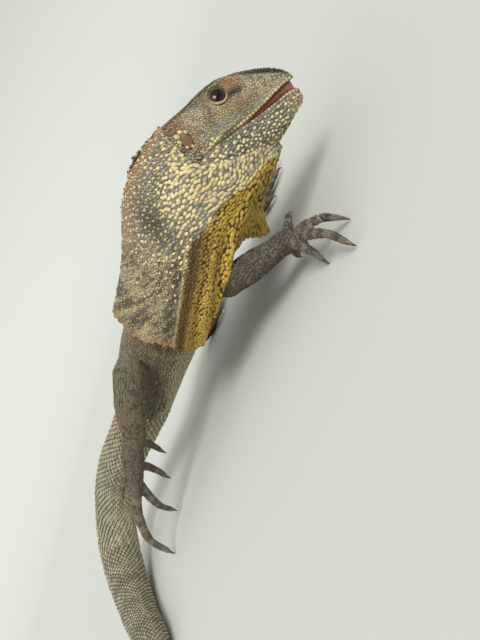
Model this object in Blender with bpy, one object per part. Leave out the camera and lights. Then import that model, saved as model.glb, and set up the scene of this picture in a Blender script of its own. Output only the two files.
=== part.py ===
"""Frilled lizard, life size, as a still museum model that stands on a floor.

The head is at +X, the left side at +Y, and the floor is at Z = 0. The tables and the functions that read
them work in millimetres, and make_object turns them into metres.
"""

import math

import bmesh
import bpy
import numpy as np

# Driving sizes, in millimetres
MM = 0.001
GAP = 0.3               # space kept between nodes that touch
FLOOR = 0.0
GROUND = 2000.0         # side of the block that trims what reaches below the floor
HEAD_LENGTH = 58.2      # ear to snout
EYEBALL = 5.8           # radius
EYE_AT = (23.4, 10.4)   # middle of the opening, along the head and above its axis
EYE_FACING = (0.2, 0.92, 0.33)   # along, outward and upward
EYE_PROUD = 1.1         # how far the eyeball stands out of the skull
EYE_OPENING = (4.2, 3.6)   # half length and half height inside the lid ring
LID_THICKNESS = 0.9     # radius of the lid ring
LID_LEAN = (0.18, 0.28)    # how fast the lids fall back forward and upward
EAR_AT = (1.6, 1.4)
EAR_OPENING = (3.4, 5.0)
NOSTRIL_AT = (45.0, 4.8)
NOSTRIL = 0.9           # radius
FRILL_THICKNESS = 1.1
FRILL_TOOTH = 1.6       # height of one point of the frill's margin
CREST_SPINES = 14
CREST_HEIGHT = 3.6
CREST_LEAN = 1.6        # how far a spine's tip lies behind its foot
# Corners of a spine's foot, along and across the neck
CREST_BASE = ((1.7, 0.0), (0.0, 1.1), (-1.7, 0.0), (0.0, -1.1))
CREST_START = 15.0      # first spine, along the neck from its front end
CREST_STEP = 3.0        # from spine to spine
CLAW = 5.2              # length
CLAW_RADIUS = 1.25
DOME_BENDS = (0.85,)    # turns, in radians, at which a limb's round end has a section
TAIL_NODES = 5
TAIL_POINT = 1.2        # how far the tail's tip reaches past its last section

# Where the head sits: its ear level on the midline, and the directions of its snout and crown
HEAD_AT = np.array((153.0, -22.0, 68.0))
HEAD_FORWARD = np.array((0.725, 0.272, -0.634))
HEAD_UP = np.array((0.56, 0.32, 0.77))

# Middle line of the body from the back of the head to the tail's tip, with half width, height up and down
SPINE = {
    "skull_base": ((153.0, -23.0, 64.0), 15.0, 9.0, 14.0),
    "nape": ((143.0, -22.0, 71.5), 17.6, 14.0, 19.0),
    "neck": ((132.0, -14.5, 74.0), 15.5, 13.5, 17.0),
    "neck_base": ((116.0, -5.0, 66.0), 16.0, 15.0, 17.0),
    "shoulders": ((98.0, -1.0, 53.0), 19.5, 18.0, 19.0),
    "chest": ((74.0, 0.0, 48.0), 21.5, 20.0, 21.0),
    "belly": ((44.0, 0.0, 46.0), 24.5, 22.5, 23.0),
    "loin": ((10.0, -1.0, 44.0), 23.0, 21.0, 21.0),
    "pelvis": ((-19.0, -2.0, 40.0), 19.0, 17.0, 17.0),
    "tail_root": ((-50.0, -1.0, 39.5), 16.2, 15.4, 15.4),
    "tail_a": ((-82.0, 1.0, 40.0), 15.2, 14.8, 14.8),
    "tail_b": ((-110.0, 2.0, 37.0), 14.8, 14.5, 14.5),
    "tail_c": ((-132.0, -6.0, 31.0), 14.5, 14.2, 14.2),
    "tail_d": ((-142.0, -24.0, 23.5), 14.2, 13.9, 14.0),
    "tail_e": ((-138.0, -48.0, 16.5), 13.6, 13.3, 13.5),
    "tail_f": ((-122.0, -74.0, 12.2), 12.4, 12.1, 12.4),
    "tail_g": ((-100.0, -100.0, 10.6), 10.8, 10.6, 10.9),
    "tail_h": ((-76.0, -124.0, 9.4), 9.5, 9.3, 9.7),
    "tail_i": ((-58.0, -152.0, 8.1), 8.2, 8.0, 8.3),
    "tail_j": ((-58.0, -186.0, 6.8), 6.9, 6.7, 7.0),
    "tail_k": ((-82.0, -214.0, 5.4), 5.5, 5.3, 5.6),
    "tail_l": ((-118.0, -228.0, 3.9), 4.0, 3.9, 4.1),
    "tail_m": ((-156.0, -228.0, 2.6), 2.6, 2.5, 2.8),
    "tail_tip": ((-188.0, -218.0, 1.6), 1.3, 1.3, 1.7),
}

# Sections of the skull and upper jaw: along the head, crown height and half width, widest half width and
# its height, lip half width and height, height of the ridge that runs over the eye to the nostril
SKULL = (
    (-8.6, 12.6, 8.5, 17.8, -2.0, 17.0, -8.8, 0.0),
    (0.0, 13.9, 10.0, 19.6, -0.6, 19.0, -8.2, 0.0),
    (10.0, 15.4, 11.0, 19.0, 0.6, 18.2, -6.5, 0.2),
    (20.0, 16.9, 10.8, 15.6, 2.4, 15.8, -5.6, 0.9),
    (26.0, 17.2, 9.8, 13.6, 2.2, 14.0, -5.1, 1.0),
    (33.0, 16.2, 8.4, 11.6, 1.8, 12.2, -4.1, -0.2),
    (41.0, 13.9, 7.2, 10.0, 1.4, 10.4, -2.5, -1.4),
    (47.0, 11.4, 5.8, 8.4, 1.2, 8.6, -1.1, -1.5),
    (52.0, 8.6, 4.6, 6.6, 1.0, 6.4, -0.2, -1.5),
    (55.6, 5.6, 3.0, 4.4, 1.0, 4.0, 0.0, -0.8),
    (57.4, 3.2, 1.4, 2.2, 1.2, 2.0, 0.1, 0.0),
)
# Sections of the lower jaw: along the head, lip height and half width, lower half width, bottom height
JAW = (
    (-4.0, -9.3, 18.6, 13.0, -21.0),
    (4.0, -8.4, 18.8, 13.0, -23.2),
    (12.0, -7.2, 17.6, 12.4, -24.2),
    (18.0, -6.5, 16.2, 11.4, -24.2),
    (24.0, -6.2, 14.6, 10.2, -23.6),
    (32.0, -5.8, 12.2, 8.6, -22.2),
    (38.0, -5.5, 10.9, 7.6, -20.4),
    (45.0, -4.8, 9.2, 6.4, -17.0),
    (51.0, -4.1, 7.0, 5.0, -13.8),
    (55.0, -4.1, 4.8, 3.4, -12.0),
    (57.3, -5.4, 2.4, 1.8, -10.4),
)
JAW_TIP = (58.6, 0.0, -7.8)
SNOUT_TIP = (HEAD_LENGTH, 0.0, 1.4)
MOUTH_LINING = (24.0, 53.0)   # where the lining and tongue begin and end along the head

# Ribs of the folded frill's right half, from the back down to the throat. Each starts where the frill leaves
# the head, given along, left of and above the head's axis, and runs through the places below to the margin.
FRILL_ROOTS = (
    (-5.5, -9.0, 13.4),
    (-5.0, -18.4, 6.4),
    (-1.0, -20.8, -8.0),
    (12.0, -18.6, -15.5),
    (19.0, -16.2, -17.0),
    (24.0, -14.4, -18.0),
    (29.0, -11.6, -19.0),
    (35.0, -7.4, -22.2),
    (39.5, 0.0, -22.6),
)
FRILL_RIBS = (
    ((154, -31, 85), (140, -27, 90), (114, -14, 91.5), (87, -11, 81), (47, -13, 78)),
    ((156, -38, 77), (134, -37, 75), (107, -35, 70), (77, -33, 66), (46, -30, 61)),
    ((155, -44, 66), (138, -48, 64), (117, -49, 60), (88, -47, 54), (57, -43, 48)),
    ((155, -40, 40), (145, -46, 46), (134, -51, 49), (111, -55, 46), (61, -48, 37)),
    ((159, -37, 37), (146, -42, 40), (134, -48, 43), (117, -54.5, 41), (64, -45, 30)),
    ((159.2, -35.8, 34.8), (147, -40, 38), (137, -45, 39), (124, -50, 36), (94, -50, 30.5)),
    ((160.8, -34, 32.2), (150, -37, 35), (142, -38, 34), (135, -39, 33), (126, -41, 32)),
    ((162.5, -29, 28), (148, -30, 29), (139, -28, 28), (131, -25, 24), (121, -22, 21)),
    ((162.4, -23, 25.8), (149, -25, 26), (139, -20, 25), (129, -12, 18), (119, -5, 10)),
)
RIB_PLACES = (0, 26, 46, 65, 75, 87, 107, 124, 138)   # where the ribs lie across the right half
SIDE_RIB = 3            # the side panel meets the throat panel on this rib
BACK_GAP = 0.9          # the back's edge, measured as the rib places are
PANEL_GAP = 0.17        # share of one step across that each panel stays short of its neighbour
FRILL_SMOOTHING = 3     # rounds of evening out the frill's places
SIDE_COLUMNS = 28       # steps across one side panel; every second one is a point of the margin
SIDE_PLEATS = 5
SIDE_PLEAT = 0.9        # height of a pleat at the margin
THROAT_COLUMNS = 52
THROAT_PLEATS = 8
THROAT_PLEAT = 1.0
HEAD_FADE = 8.0         # behind the skull, the frill is let down onto the neck over this length
# Directions from right to left at stations of the spine
MIDLINE_STATIONS = {
    "neck": (-0.12, 0.99, 0.0),
    "neck_base": (0.0, 1.0, 0.0),
    "shoulders": (0.0, 1.0, 0.0),
    "belly": (0.0, 1.0, 0.0),
}
TUBE_SAMPLES = 60       # places along each length of flesh where the frill is held off it
TRUNK_STATIONS = 9      # stations of the spine that the frill is folded over
FRILL_ROWS = 9          # steps from root to margin
FRILL_REST = 1.6        # space between the flesh and the frill that lies on it
NECK_SPARE = 1.0        # more of it over the neck and the trunk

# Arms and legs: joints from the trunk outward, with the radius at each
ARMS = {
    "right": (((101, -12, 52), 9.5), ((103, -27, 43), 8.2), ((102, -41, 30), 7.2), ((121, -48, 23), 7.4),
              ((137, -53, 16), 4.8)),
    "left": (((99, 12, 52), 9.5), ((89, 24, 42), 8.2), ((80, 34, 30), 7.2), ((85, 47, 19), 7.0),
             ((92, 61, 10.5), 4.8)),
}
LEGS = {
    "right": (((-12, -9, 41), 13.0), ((9, -24, 51), 12.0), ((28, -35, 60), 9.0), ((8, -42, 53), 9.0),
              ((-14, -44, 44), 6.6)),
    "left": (((-12, 9, 40), 13.0), ((4, 30, 45), 12.0), ((20, 46, 47), 9.0), ((4, 56, 30), 9.0),
             ((-14, 63, 13), 6.6)),
}
# Palms and soles: points from wrist or ankle to the knuckles, with radii
PALMS = {
    "right": (((133.5, -47.8, 17.6), 4.4), ((140.5, -53.5, 15.5), 5.2), ((144.9, -58.2, 13.6), 4.6)),
    "left": (((90, 60, 12.5), 4.6), ((96, 64, 7), 5.2), ((103, 68, 4.2), 4.6)),
}
SOLES = {
    "right": (((-12.5, -44, 46), 6.4), ((-26, -48.4, 41.6), 6.9), ((-37, -52.4, 37.4), 5.8)),
    "left": (((-15, 63.5, 12), 6.2), ((-6, 69, 6.4), 6.8), ((6, 75, 4.8), 6.0)),
}
# Fingers and toes from the thumb out: knuckle, two joints and tip
FINGERS = {
    "right": (
        ((140, -50.5, 15.5), (143.5, -47.9, 15.8), (145.5, -43.8, 16), (145.8, -39.5, 15.8)),
        ((146, -57.3, 14.3), (157.4, -66.5, 13.5), (162.7, -68.8, 9.5), (165, -70.5, 5.4)),
        ((146.4, -61, 13.6), (157.7, -75.4, 12.4), (162.9, -83.4, 9), (164.7, -89, 5)),
        ((142.4, -58.7, 13), (145.8, -66.8, 11), (147.3, -70.5, 8.2), (146.4, -72, 4.6)),
        ((139, -56, 12), (135.5, -51, 9), (132, -46.5, 6.5), (129.5, -42.5, 4.4)),
    ),
    "left": (
        ((98, 63, 6), (103, 60, 4.6), (107, 58, 3.8), (110, 57, 3.2)),
        ((103, 68, 4.8), (111, 68, 4.6), (117, 69, 3.8), (122, 71, 3.2)),
        ((104, 70, 4.6), (112, 74, 5.0), (118, 79, 4.2), (122, 84, 3.2)),
        ((102, 72, 4.6), (107, 79, 5.0), (111, 86, 4.2), (113, 92, 3.2)),
        ((97, 71, 5), (98, 77, 4.6), (99, 82, 3.8), (99, 87, 3.2)),
    ),
}
TOES = {
    "right": (
        ((-18.8, -40.5, 40.2), (-20.8, -37.5, 36.3), (-24.9, -34.6, 30.5), (-28.1, -33.5, 25.9)),
        ((-29.7, -47.1, 36.6), (-33.4, -43.8, 30.4), (-37.3, -41.8, 23.8), (-41.5, -40.2, 18.4)),
        ((-39.2, -52.4, 34), (-47.4, -53.7, 25), (-55.3, -52.2, 16), (-60.9, -48.4, 8.1)),
        ((-39, -56, 35.5), (-55.2, -63.3, 28.5), (-66.6, -69.6, 17.5), (-70.4, -71, 6)),
        ((-30.3, -52.3, 43), (-36.8, -54.6, 43.4), (-40.9, -56.5, 43.3), (-44.9, -57.4, 42)),
    ),
    "left": (
        ((-2, 65, 6), (6, 63, 4.8), (13, 62, 4.0), (18, 62, 3.4)),
        ((5, 72, 5), (17, 72, 5.2), (26, 74, 4.4), (33, 77, 3.4)),
        ((6, 75, 5), (18, 81, 5.4), (28, 88, 4.6), (36, 95, 3.4)),
        ((4, 78, 5), (14, 90, 5.8), (23, 101, 4.8), (29, 112, 3.4)),
        ((-6, 76, 6), (-8, 84, 5.0), (-8, 91, 4.2), (-6, 97, 3.4)),
    ),
}
FINGER_RADII = (2.9, 2.6, 2.2, 1.8)
TOE_RADII = (3.3, 2.9, 2.4, 1.9)
FOURTH_TOE = 1.12       # the long toe is this much thicker

# Colour and roughness of each material
COLOURS = {
    "skin_brown": ((0.20, 0.16, 0.11), 0.75),
    "skin_grey": ((0.23, 0.21, 0.18), 0.75),
    "limb_dark": ((0.09, 0.08, 0.07), 0.75),
    "frill_grey": ((0.30, 0.27, 0.20), 0.75),
    "frill_gold": ((0.38, 0.25, 0.05), 0.75),
    "tail_pale": ((0.34, 0.31, 0.24), 0.75),
    "mouth_pink": ((0.40, 0.16, 0.14), 0.45),
    "eye_dark": ((0.02, 0.008, 0.006), 0.08),
    "eardrum": ((0.36, 0.20, 0.11), 0.6),
}


def curve(knots, values):
    """Smooth curve through values at knots, as a function of a number along it."""
    knots = np.asarray(knots, float)
    values = np.asarray(values, float)
    slopes = np.gradient(values, knots, axis=0)

    def at(t):
        t = min(max(t, knots[0]), knots[-1])
        i = min(int(np.searchsorted(knots, t, side="right")) - 1, len(knots) - 2)
        step = knots[i + 1] - knots[i]
        x = (t - knots[i]) / step
        start = (1 + 2 * x) * (1 - x) ** 2 * values[i] + x * (1 - x) ** 2 * step * slopes[i]
        end = x * x * (3 - 2 * x) * values[i + 1] + x * x * (x - 1) * step * slopes[i + 1]
        return start + end

    return at


def route(points, *others):
    """Smooth path through points, with other values alongside, and its length."""
    points = np.asarray(points, float)
    steps = np.linalg.norm(np.diff(points, axis=0), axis=1)
    knots = np.concatenate(([0.0], np.cumsum(steps)))
    columns = [points] + [np.asarray(o, float).reshape(len(points), -1) for o in others]
    return curve(knots, np.hstack(columns)), knots


def unit(v):
    return v / np.linalg.norm(v)


def head_to_world(along, left, up):
    """Place of a point given along, left of and above the head's own axis."""
    forward = unit(HEAD_FORWARD)
    crown = unit(HEAD_UP - forward * HEAD_UP.dot(forward))
    return HEAD_AT + along * forward + left * np.cross(crown, forward) + up * crown


def ring(centre, tangent, pole, half_width, up, down, sides):
    """Closed section across tangent, with its top towards pole."""
    side = unit(np.cross(unit(tangent), pole))
    top = unit(np.cross(side, unit(tangent)))
    angles = 2 * math.pi * (np.arange(sides) + 0.5) / sides
    heights = np.where(np.sin(angles) > 0, up, down) * np.sin(angles)
    return centre + np.outer(half_width * np.cos(angles), side) + np.outer(heights, top)


def add_to_model(obj, slot):
    bpy.data.collections["frilled_lizard"].objects.link(obj)
    obj.data.materials.append(bpy.data.materials[slot])
    return obj


def make_object(name, bm):
    """Closed mesh object in metres from a bmesh in millimetres, with its faces pointing out."""
    bmesh.ops.scale(bm, vec=(MM, MM, MM), verts=bm.verts)
    bmesh.ops.triangulate(bm, faces=bm.faces)
    bmesh.ops.recalc_face_normals(bm, faces=bm.faces)
    mesh = bpy.data.meshes.new(name)
    bm.to_mesh(mesh)
    bm.free()
    return bpy.data.objects.new(name, mesh)


def loft(name, rings, tips=(None, None)):
    """Skin over rings of points, closed at each end on a tip point or on the ring's own middle."""
    bm = bmesh.new()
    loops = [[bm.verts.new(p) for p in points] for points in rings]
    for a, b in zip(loops, loops[1:]):
        for i in range(len(a)):
            j = (i + 1) % len(a)
            bm.faces.new((a[i], a[j], b[j], b[i]))
    for loop, points, tip in ((loops[0], rings[0], tips[0]), (loops[-1], rings[-1], tips[1])):
        middle = bm.verts.new(np.mean(points, axis=0) if tip is None else tip)
        for i in range(len(loop)):
            bm.faces.new((loop[i], loop[(i + 1) % len(loop)], middle))
    return make_object(name, bm)


def tube(name, joints, radii, sides, steps, pole=(0.0, 0.0, 1.0), domes=(True, True)):
    """Round limb through joints, with a dome or a flat at each end."""
    path, knots = route(joints, radii)
    pole = np.asarray(pole, float)
    places = np.linspace(knots[0], knots[-1], steps)
    nudge = 0.01 * knots[-1]
    rings = []
    tips = []
    for place in places:
        here = path(place)
        tangent = path(place + nudge)[:3] - path(place - nudge)[:3]
        rings.append(ring(here[:3], tangent, pole, here[3], here[3], here[3], sides))
    for end, dome in ((0, domes[0]), (-1, domes[1])):
        if not dome:
            tips.append(None)
            continue
        here = path(places[end])
        inner = path(places[end] + (nudge if end == 0 else -nudge))[:3]
        outward = unit(here[:3] - inner)
        tangent = outward * (-1 if end == 0 else 1)
        for bend in DOME_BENDS:
            centre = here[:3] + outward * here[3] * math.sin(bend)
            radius = here[3] * math.cos(bend)
            section = ring(centre, tangent, pole, radius, radius, radius, sides)
            rings.insert(0 if end == 0 else len(rings), section)
        tips.append(here[:3] + outward * here[3])
    return loft(name, rings, tips)


def applied(obj):
    """Turns an object's modifiers into its mesh."""
    graph = bpy.context.evaluated_depsgraph_get()
    mesh = bpy.data.meshes.new_from_object(obj.evaluated_get(graph))
    obj.modifiers.clear()
    obj.data = mesh


def combine(obj, others, operation):
    """Boolean of one object with several, which are then removed. Only the largest closed surface stays."""
    scene = bpy.context.scene.collection
    tools = bpy.data.collections.new("tools")
    scene.children.link(tools)
    for other in others:
        tools.objects.link(other)
    loose = not obj.users_collection
    if loose:
        scene.objects.link(obj)
    modifier = obj.modifiers.new("join", "BOOLEAN")
    modifier.operation = operation
    modifier.solver = "EXACT"
    modifier.operand_type = "COLLECTION"
    modifier.collection = tools
    applied(obj)
    if loose:
        scene.objects.unlink(obj)
    for other in list(tools.objects):
        bpy.data.objects.remove(other)
    bpy.data.collections.remove(tools)
    keep_largest(obj)
    return obj


def keep_largest(obj):
    """Drops loose scraps and sealed hollows."""
    bm = bmesh.new()
    bm.from_mesh(obj.data)
    bmesh.ops.remove_doubles(bm, verts=bm.verts, dist=0.0000005)
    bmesh.ops.triangulate(bm, faces=bm.faces)
    bm.faces.ensure_lookup_table()
    unseen = set(bm.faces)
    shells = []
    while unseen:
        shell = [unseen.pop()]
        for face in shell:
            for edge in face.edges:
                if len(edge.link_faces) != 2:
                    continue
                for near in edge.link_faces:
                    if near in unseen:
                        unseen.remove(near)
                        shell.append(near)
        shells.append(shell)

    def volume(shell):
        return sum(f.verts[0].co.dot(f.verts[1].co.cross(f.verts[2].co)) for f in shell)

    best = max(shells, key=volume)
    scraps = [face for shell in shells if shell is not best for face in shell]
    bmesh.ops.delete(bm, geom=scraps, context="FACES")
    bm.to_mesh(obj.data)
    bm.free()


def grown(obj, distance=GAP):
    """Copy of an object, larger by distance all round, to cut its neighbours with."""
    bm = bmesh.new()
    bm.from_mesh(obj.data)
    bm.normal_update()
    shifts = [v.normal * (distance * MM) * v.calc_shell_factor() for v in bm.verts]
    for vert, shift in zip(bm.verts, shifts):
        vert.co += shift
    mesh = bpy.data.meshes.new("cutter")
    bm.to_mesh(mesh)
    bm.free()
    return bpy.data.objects.new("cutter", mesh)


def cut_at_floor(obj):
    """Trims what would reach below the floor, which leaves small flats that all lie at one level."""
    bm = bmesh.new()
    bm.from_mesh(obj.data)
    lowest = min(v.co.z for v in bm.verts)
    bm.free()
    if lowest < FLOOR:
        ground = bmesh.new()
        bmesh.ops.create_cube(ground, size=GROUND)
        bmesh.ops.translate(ground, verts=ground.verts, vec=(0, 0, FLOOR - GROUND / 2))
        combine(obj, [make_object("ground", ground)], "DIFFERENCE")


def body_length(name, start, end, sides, steps):
    """One length of neck, trunk or tail, between two distances along the spine."""
    rows = list(SPINE.values())
    path, knots = route([r[0] for r in rows], [r[1:] for r in rows])
    last = end >= knots[-1] - 0.001
    first = start + (GAP / 2 if start > 0 else 0)
    final = end - (0 if last else GAP / 2)
    rings = []
    for place in np.linspace(first, final, steps):
        here = path(place)
        tangent = path(place + 1)[:3] - path(place - 1)[:3]
        rings.append(ring(here[:3], tangent, (0, 0, 1), here[3], here[4], here[5], sides))
    tip = None
    if last:
        middle = rings[-1].mean(axis=0)
        tip = middle + unit(middle - rings[-2].mean(axis=0)) * TAIL_POINT
    return loft(name, rings, (None, tip))


def spine_place(station):
    """Distance along the spine of a named station."""
    rows = list(SPINE.values())
    knots = route([r[0] for r in rows])[1]
    return knots[list(SPINE).index(station)]


def skull_ring(along, section):
    """Section of the skull and upper jaw, down one side to the lip and back along the palate."""
    crown, crown_width, width, width_at, lip_width, lip, ridge = section
    half = [
        (0.0, crown),
        (crown_width * 0.55, crown - 0.3),
        (crown_width + ridge * 0.6, crown - 1.6 + ridge),
        (crown_width * 0.45 + width * 0.55, (crown + width_at) / 2 + 0.6),
        (width, width_at),
        (lip_width * 0.6 + width * 0.4, (width_at + lip) / 2),
        (lip_width, lip + 0.9),
        (lip_width * 0.93, lip + 0.1),
        (lip_width * 0.72, lip + 0.5),
        (lip_width * 0.3, lip + 1.0),
    ]
    smooth_half, knots = route(half)
    points = [smooth_half(t) for t in np.linspace(0, knots[-1], 12)]
    outline = points + [(-y, z) for y, z in points[:0:-1]]
    return np.array([head_to_world(along, y, z) for y, z in outline])


def jaw_ring(along, section):
    lip, lip_width, low_width, bottom = section
    half = [
        (0.0, lip - 1.0),
        (lip_width * 0.6, lip - 0.7),
        (lip_width * 0.92, lip - 0.1),
        (lip_width, lip - 1.0),
        (lip_width * 0.97, lip * 0.6 + bottom * 0.4),
        (low_width, lip * 0.15 + bottom * 0.85),
        (low_width * 0.5, bottom),
        (0.0, bottom - 0.2),
    ]
    smooth_half, knots = route(half)
    points = [smooth_half(t) for t in np.linspace(0, knots[-1], 9)]
    outline = points + [(-y, z) for y, z in points[-2:0:-1]]
    return np.array([head_to_world(along, y, z) for y, z in outline])


def ball(name, centre, radii, axes, segments=16, rows=9):
    """Ellipsoid of radii along three axes, which are given as directions."""
    bm = bmesh.new()
    bmesh.ops.create_uvsphere(bm, u_segments=segments, v_segments=rows, radius=1.0)
    frame = np.array(axes).T * np.array(radii)
    for vert in bm.verts:
        vert.co = frame @ np.array(vert.co) + centre
    return make_object(name, bm)


def head_axes():
    origin = head_to_world(0, 0, 0)
    return tuple(head_to_world(*step) - origin for step in ((1, 0, 0), (0, 1, 0), (0, 0, 1)))


def skull_half_width(along, up):
    """How far the side of the skull stands from its midline at a place."""
    rows = np.array(SKULL)
    section = curve(rows[:, 0], rows[:, 1:])(along)
    crown, crown_width, width, width_at = section[:4]
    if up <= width_at:
        return width
    rise = (up - width_at) / (crown - 1.6 - width_at)
    return width + (crown_width - width) * min(rise, 1.0) ** 1.6


def lid_ring(side):
    """Raised ring of the eyelids."""
    steps = 14
    out = skull_half_width(*EYE_AT)
    ring_size = [half + LID_THICKNESS for half in EYE_OPENING]
    rings = []
    for turn in np.linspace(0, 2 * math.pi, steps, endpoint=False):
        reach = [half * share for half, share in zip(ring_size, (math.cos(turn), math.sin(turn)))]
        lean = -LID_LEAN[0] * reach[0] - LID_LEAN[1] * reach[1]
        centre = head_to_world(EYE_AT[0] + reach[0], side * (out + lean), EYE_AT[1] + reach[1])
        outward = unit(head_to_world(reach[0], 0, reach[1]) - head_to_world(0, 0, 0))
        left = head_axes()[1] * side
        points = []
        for angle in np.linspace(0, 2 * math.pi, 5, endpoint=False):
            points.append(centre + LID_THICKNESS * (math.cos(angle) * outward + math.sin(angle) * left))
        rings.append(points)
    bm = bmesh.new()
    loops = [[bm.verts.new(p) for p in points] for points in rings]
    for a, b in zip(loops, loops[1:] + loops[:1]):
        for i in range(len(a)):
            j = (i + 1) % len(a)
            bm.faces.new((a[i], a[j], b[j], b[i]))
    return make_object("lid", bm)


def make_head():
    """Skull and upper jaw, with lids, ear recesses and nostrils."""
    rows = np.array(SKULL)
    sections = curve(rows[:, 0], rows[:, 1:])
    places = np.concatenate((np.linspace(rows[0, 0], 49, 16), (52.2, 54.8, 56.6, rows[-1, 0])))
    rings = [skull_ring(place, sections(place)) for place in places]
    head = loft("head", rings, (None, head_to_world(*SNOUT_TIP)))
    combine(head, [lid_ring(1), lid_ring(-1)], "UNION")
    cutters = []
    drums = []
    for side, name in ((1, "left"), (-1, "right")):
        ahead, out, up = unit(np.array(EYE_FACING)) * (EYEBALL - EYE_PROUD)
        eye_out = skull_half_width(*EYE_AT) - out
        centre = head_to_world(EYE_AT[0] - ahead, side * eye_out, EYE_AT[1] - up)
        add_to_model(ball("eye_" + name, centre, [EYEBALL] * 3, head_axes(), 12, 8), "eye_dark")
        cutters.append(ball("cutter", centre, [EYEBALL + GAP] * 3, head_axes(), 12, 8))
        ear_out = skull_half_width(*EAR_AT)
        for place, radii, depth in ((EAR_AT, EAR_OPENING, 2.2), (NOSTRIL_AT, (NOSTRIL, NOSTRIL), 1.4)):
            out = skull_half_width(*place)
            middle = head_to_world(place[0], side * out, place[1])
            cutters.append(ball("cutter", middle, (radii[0], depth, radii[1]), head_axes(), 8, 5))
        drum_at = head_to_world(EAR_AT[0], side * (ear_out - 1.5), EAR_AT[1])
        drum_size = (EAR_OPENING[0] * 0.78, 0.5, EAR_OPENING[1] * 0.78)
        drum = ball("ear_" + name, drum_at, drum_size, head_axes(), 8, 4)
        cutters.append(grown(drum))
        drums.append(add_to_model(drum, "eardrum"))
    combine(head, cutters, "DIFFERENCE")
    return [add_to_model(head, "skin_brown")] + drums


def make_jaw():
    rows = np.array(JAW)
    sections = curve(rows[:, 0], rows[:, 1:])
    places = np.concatenate((np.linspace(rows[0, 0], 49, 11), (52.5, 55.2, 56.8)))
    rings = [jaw_ring(place, sections(place)) for place in places]
    jaw = loft("lower_jaw", rings, (None, head_to_world(*JAW_TIP)))
    return add_to_model(jaw, "skin_grey")


def make_mouth():
    """Tongue and lining that show between the parted jaws."""
    skull_rows = np.array(SKULL)
    jaw_rows = np.array(JAW)
    skull = curve(skull_rows[:, 0], skull_rows[:, 1:])
    jaw = curve(jaw_rows[:, 0], jaw_rows[:, 1:])
    rings = []
    for along in np.linspace(*MOUTH_LINING, 10):
        top = skull(along)[5] + 0.5 - GAP
        low = jaw(along)[0] - 0.4 + GAP
        width = min(skull(along)[4], jaw(along)[1]) * 0.8
        middle = (top + low) / 2
        half = (top - low) / 2
        points = []
        for angle in 2 * math.pi * (np.arange(12) + 0.5) / 12:
            points.append(head_to_world(along, width * math.cos(angle), middle + half * math.sin(angle)))
        rings.append(points)
    return add_to_model(loft("tongue", rings), "mouth_pink")


def spine_samples():
    """Places along the neck and trunk, with half width, height up and down at each."""
    rows = list(SPINE.values())[:TRUNK_STATIONS]
    path, knots = route([r[0] for r in rows], [r[1:] for r in rows])
    return np.array([path(place) for place in np.linspace(0, knots[-1], TUBE_SAMPLES)])


def local_frame(row, place):
    """Nearest sample of a tube to a place, with the tube's direction, side and top there."""
    nearest = int(np.argmin(np.linalg.norm(row[:, :3] - place, axis=1)))
    ahead = row[min(nearest + 1, len(row) - 1), :3]
    behind = row[max(nearest - 1, 0), :3]
    tangent = unit(ahead - behind)
    side = unit(np.cross(tangent, (0, 0, 1)))
    return row[nearest], tangent, side, np.cross(side, tangent)


def midline(x):
    """Point and direction of the plane that parts left from right, where the body has reached x."""
    left = head_axes()[1]
    rows = [(*HEAD_AT, *left)]
    for station in MIDLINE_STATIONS:
        place, side = SPINE[station][0], MIDLINE_STATIONS[station]
        rows.append((*place, *side))
    rows = np.array(rows[::-1], float)
    here = curve(rows[:, 0], rows)(x)
    return here[:3], unit(here[3:])


def other_side(place):
    """Mirror image of a place about the plane between left and right, which follows the bend of the neck."""
    point, side = midline(place[0])
    return place - 2 * side * (place - point).dot(side)


def flesh_tubes(spine):
    """Samples of the trunk, the head and the arms, which the frill lies on."""
    skull = [SKULL[0], SKULL[1], SKULL[2], SKULL[3], SKULL[5]]
    jaw = [JAW[0], JAW[1], JAW[2], JAW[3], JAW[5]]
    centres = [head_to_world(upper[0], 0, -4.0) for upper in skull]
    sizes = [(upper[3], upper[1] + 4.0, -4.0 - lower[3]) for upper, lower in zip(skull, jaw)]
    tubes = [(centres, sizes)]
    for joints in ARMS.values():
        tubes.append(([j[0] for j in joints[:3]], [(j[1],) * 3 for j in joints[:3]]))
        tubes.append(([j[0] for j in joints[2:]], [(j[1],) * 3 for j in joints[2:]]))
    samples = [spine + np.array((0, 0, 0, NECK_SPARE, NECK_SPARE, NECK_SPARE))]
    for points, sizes in tubes:
        path, knots = route(points, sizes)
        samples.append(np.array([path(place) for place in np.linspace(0, knots[-1], TUBE_SAMPLES)]))
    return samples


def clear_of_flesh(place, tubes, clearance):
    """Moves a place straight out of any flesh that it would touch."""
    for row in tubes:
        sample, tangent, side, top = local_frame(row, place)
        offset = place - sample[:3]
        over, above = offset.dot(side), offset.dot(top)
        height = sample[4] if above > 0 else sample[5]
        level = math.hypot(over / (sample[3] + clearance), above / (height + clearance))
        beyond = abs(offset.dot(tangent)) / HEAD_FADE
        if beyond < 1 and 0.01 < level < 1:
            place = place + (side * over + top * above) * (1 / level - 1) * (1 - beyond * beyond)
    return place


def frill_surface():
    """Function for the folded frill: along runs from root to margin, across from right to left."""
    spine = spine_samples()
    tubes = flesh_tubes(spine)
    ribs = [route([head_to_world(*root)] + list(rib)) for root, rib in zip(FRILL_ROOTS, FRILL_RIBS)]
    middle = RIB_PLACES[-1]
    clearance = FRILL_THICKNESS + FRILL_REST

    def at(along, across):
        left = across > middle
        across = 2 * middle - across if left else across
        points = np.array([path(along * knots[-1]) for path, knots in ribs])
        points[-1] = (points[-1] + other_side(points[-1])) / 2
        place = curve(RIB_PLACES, points)(across)
        if left:
            place = other_side(place)
        return clear_of_flesh(clear_of_flesh(place, tubes, clearance), tubes, clearance)

    return at


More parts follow.
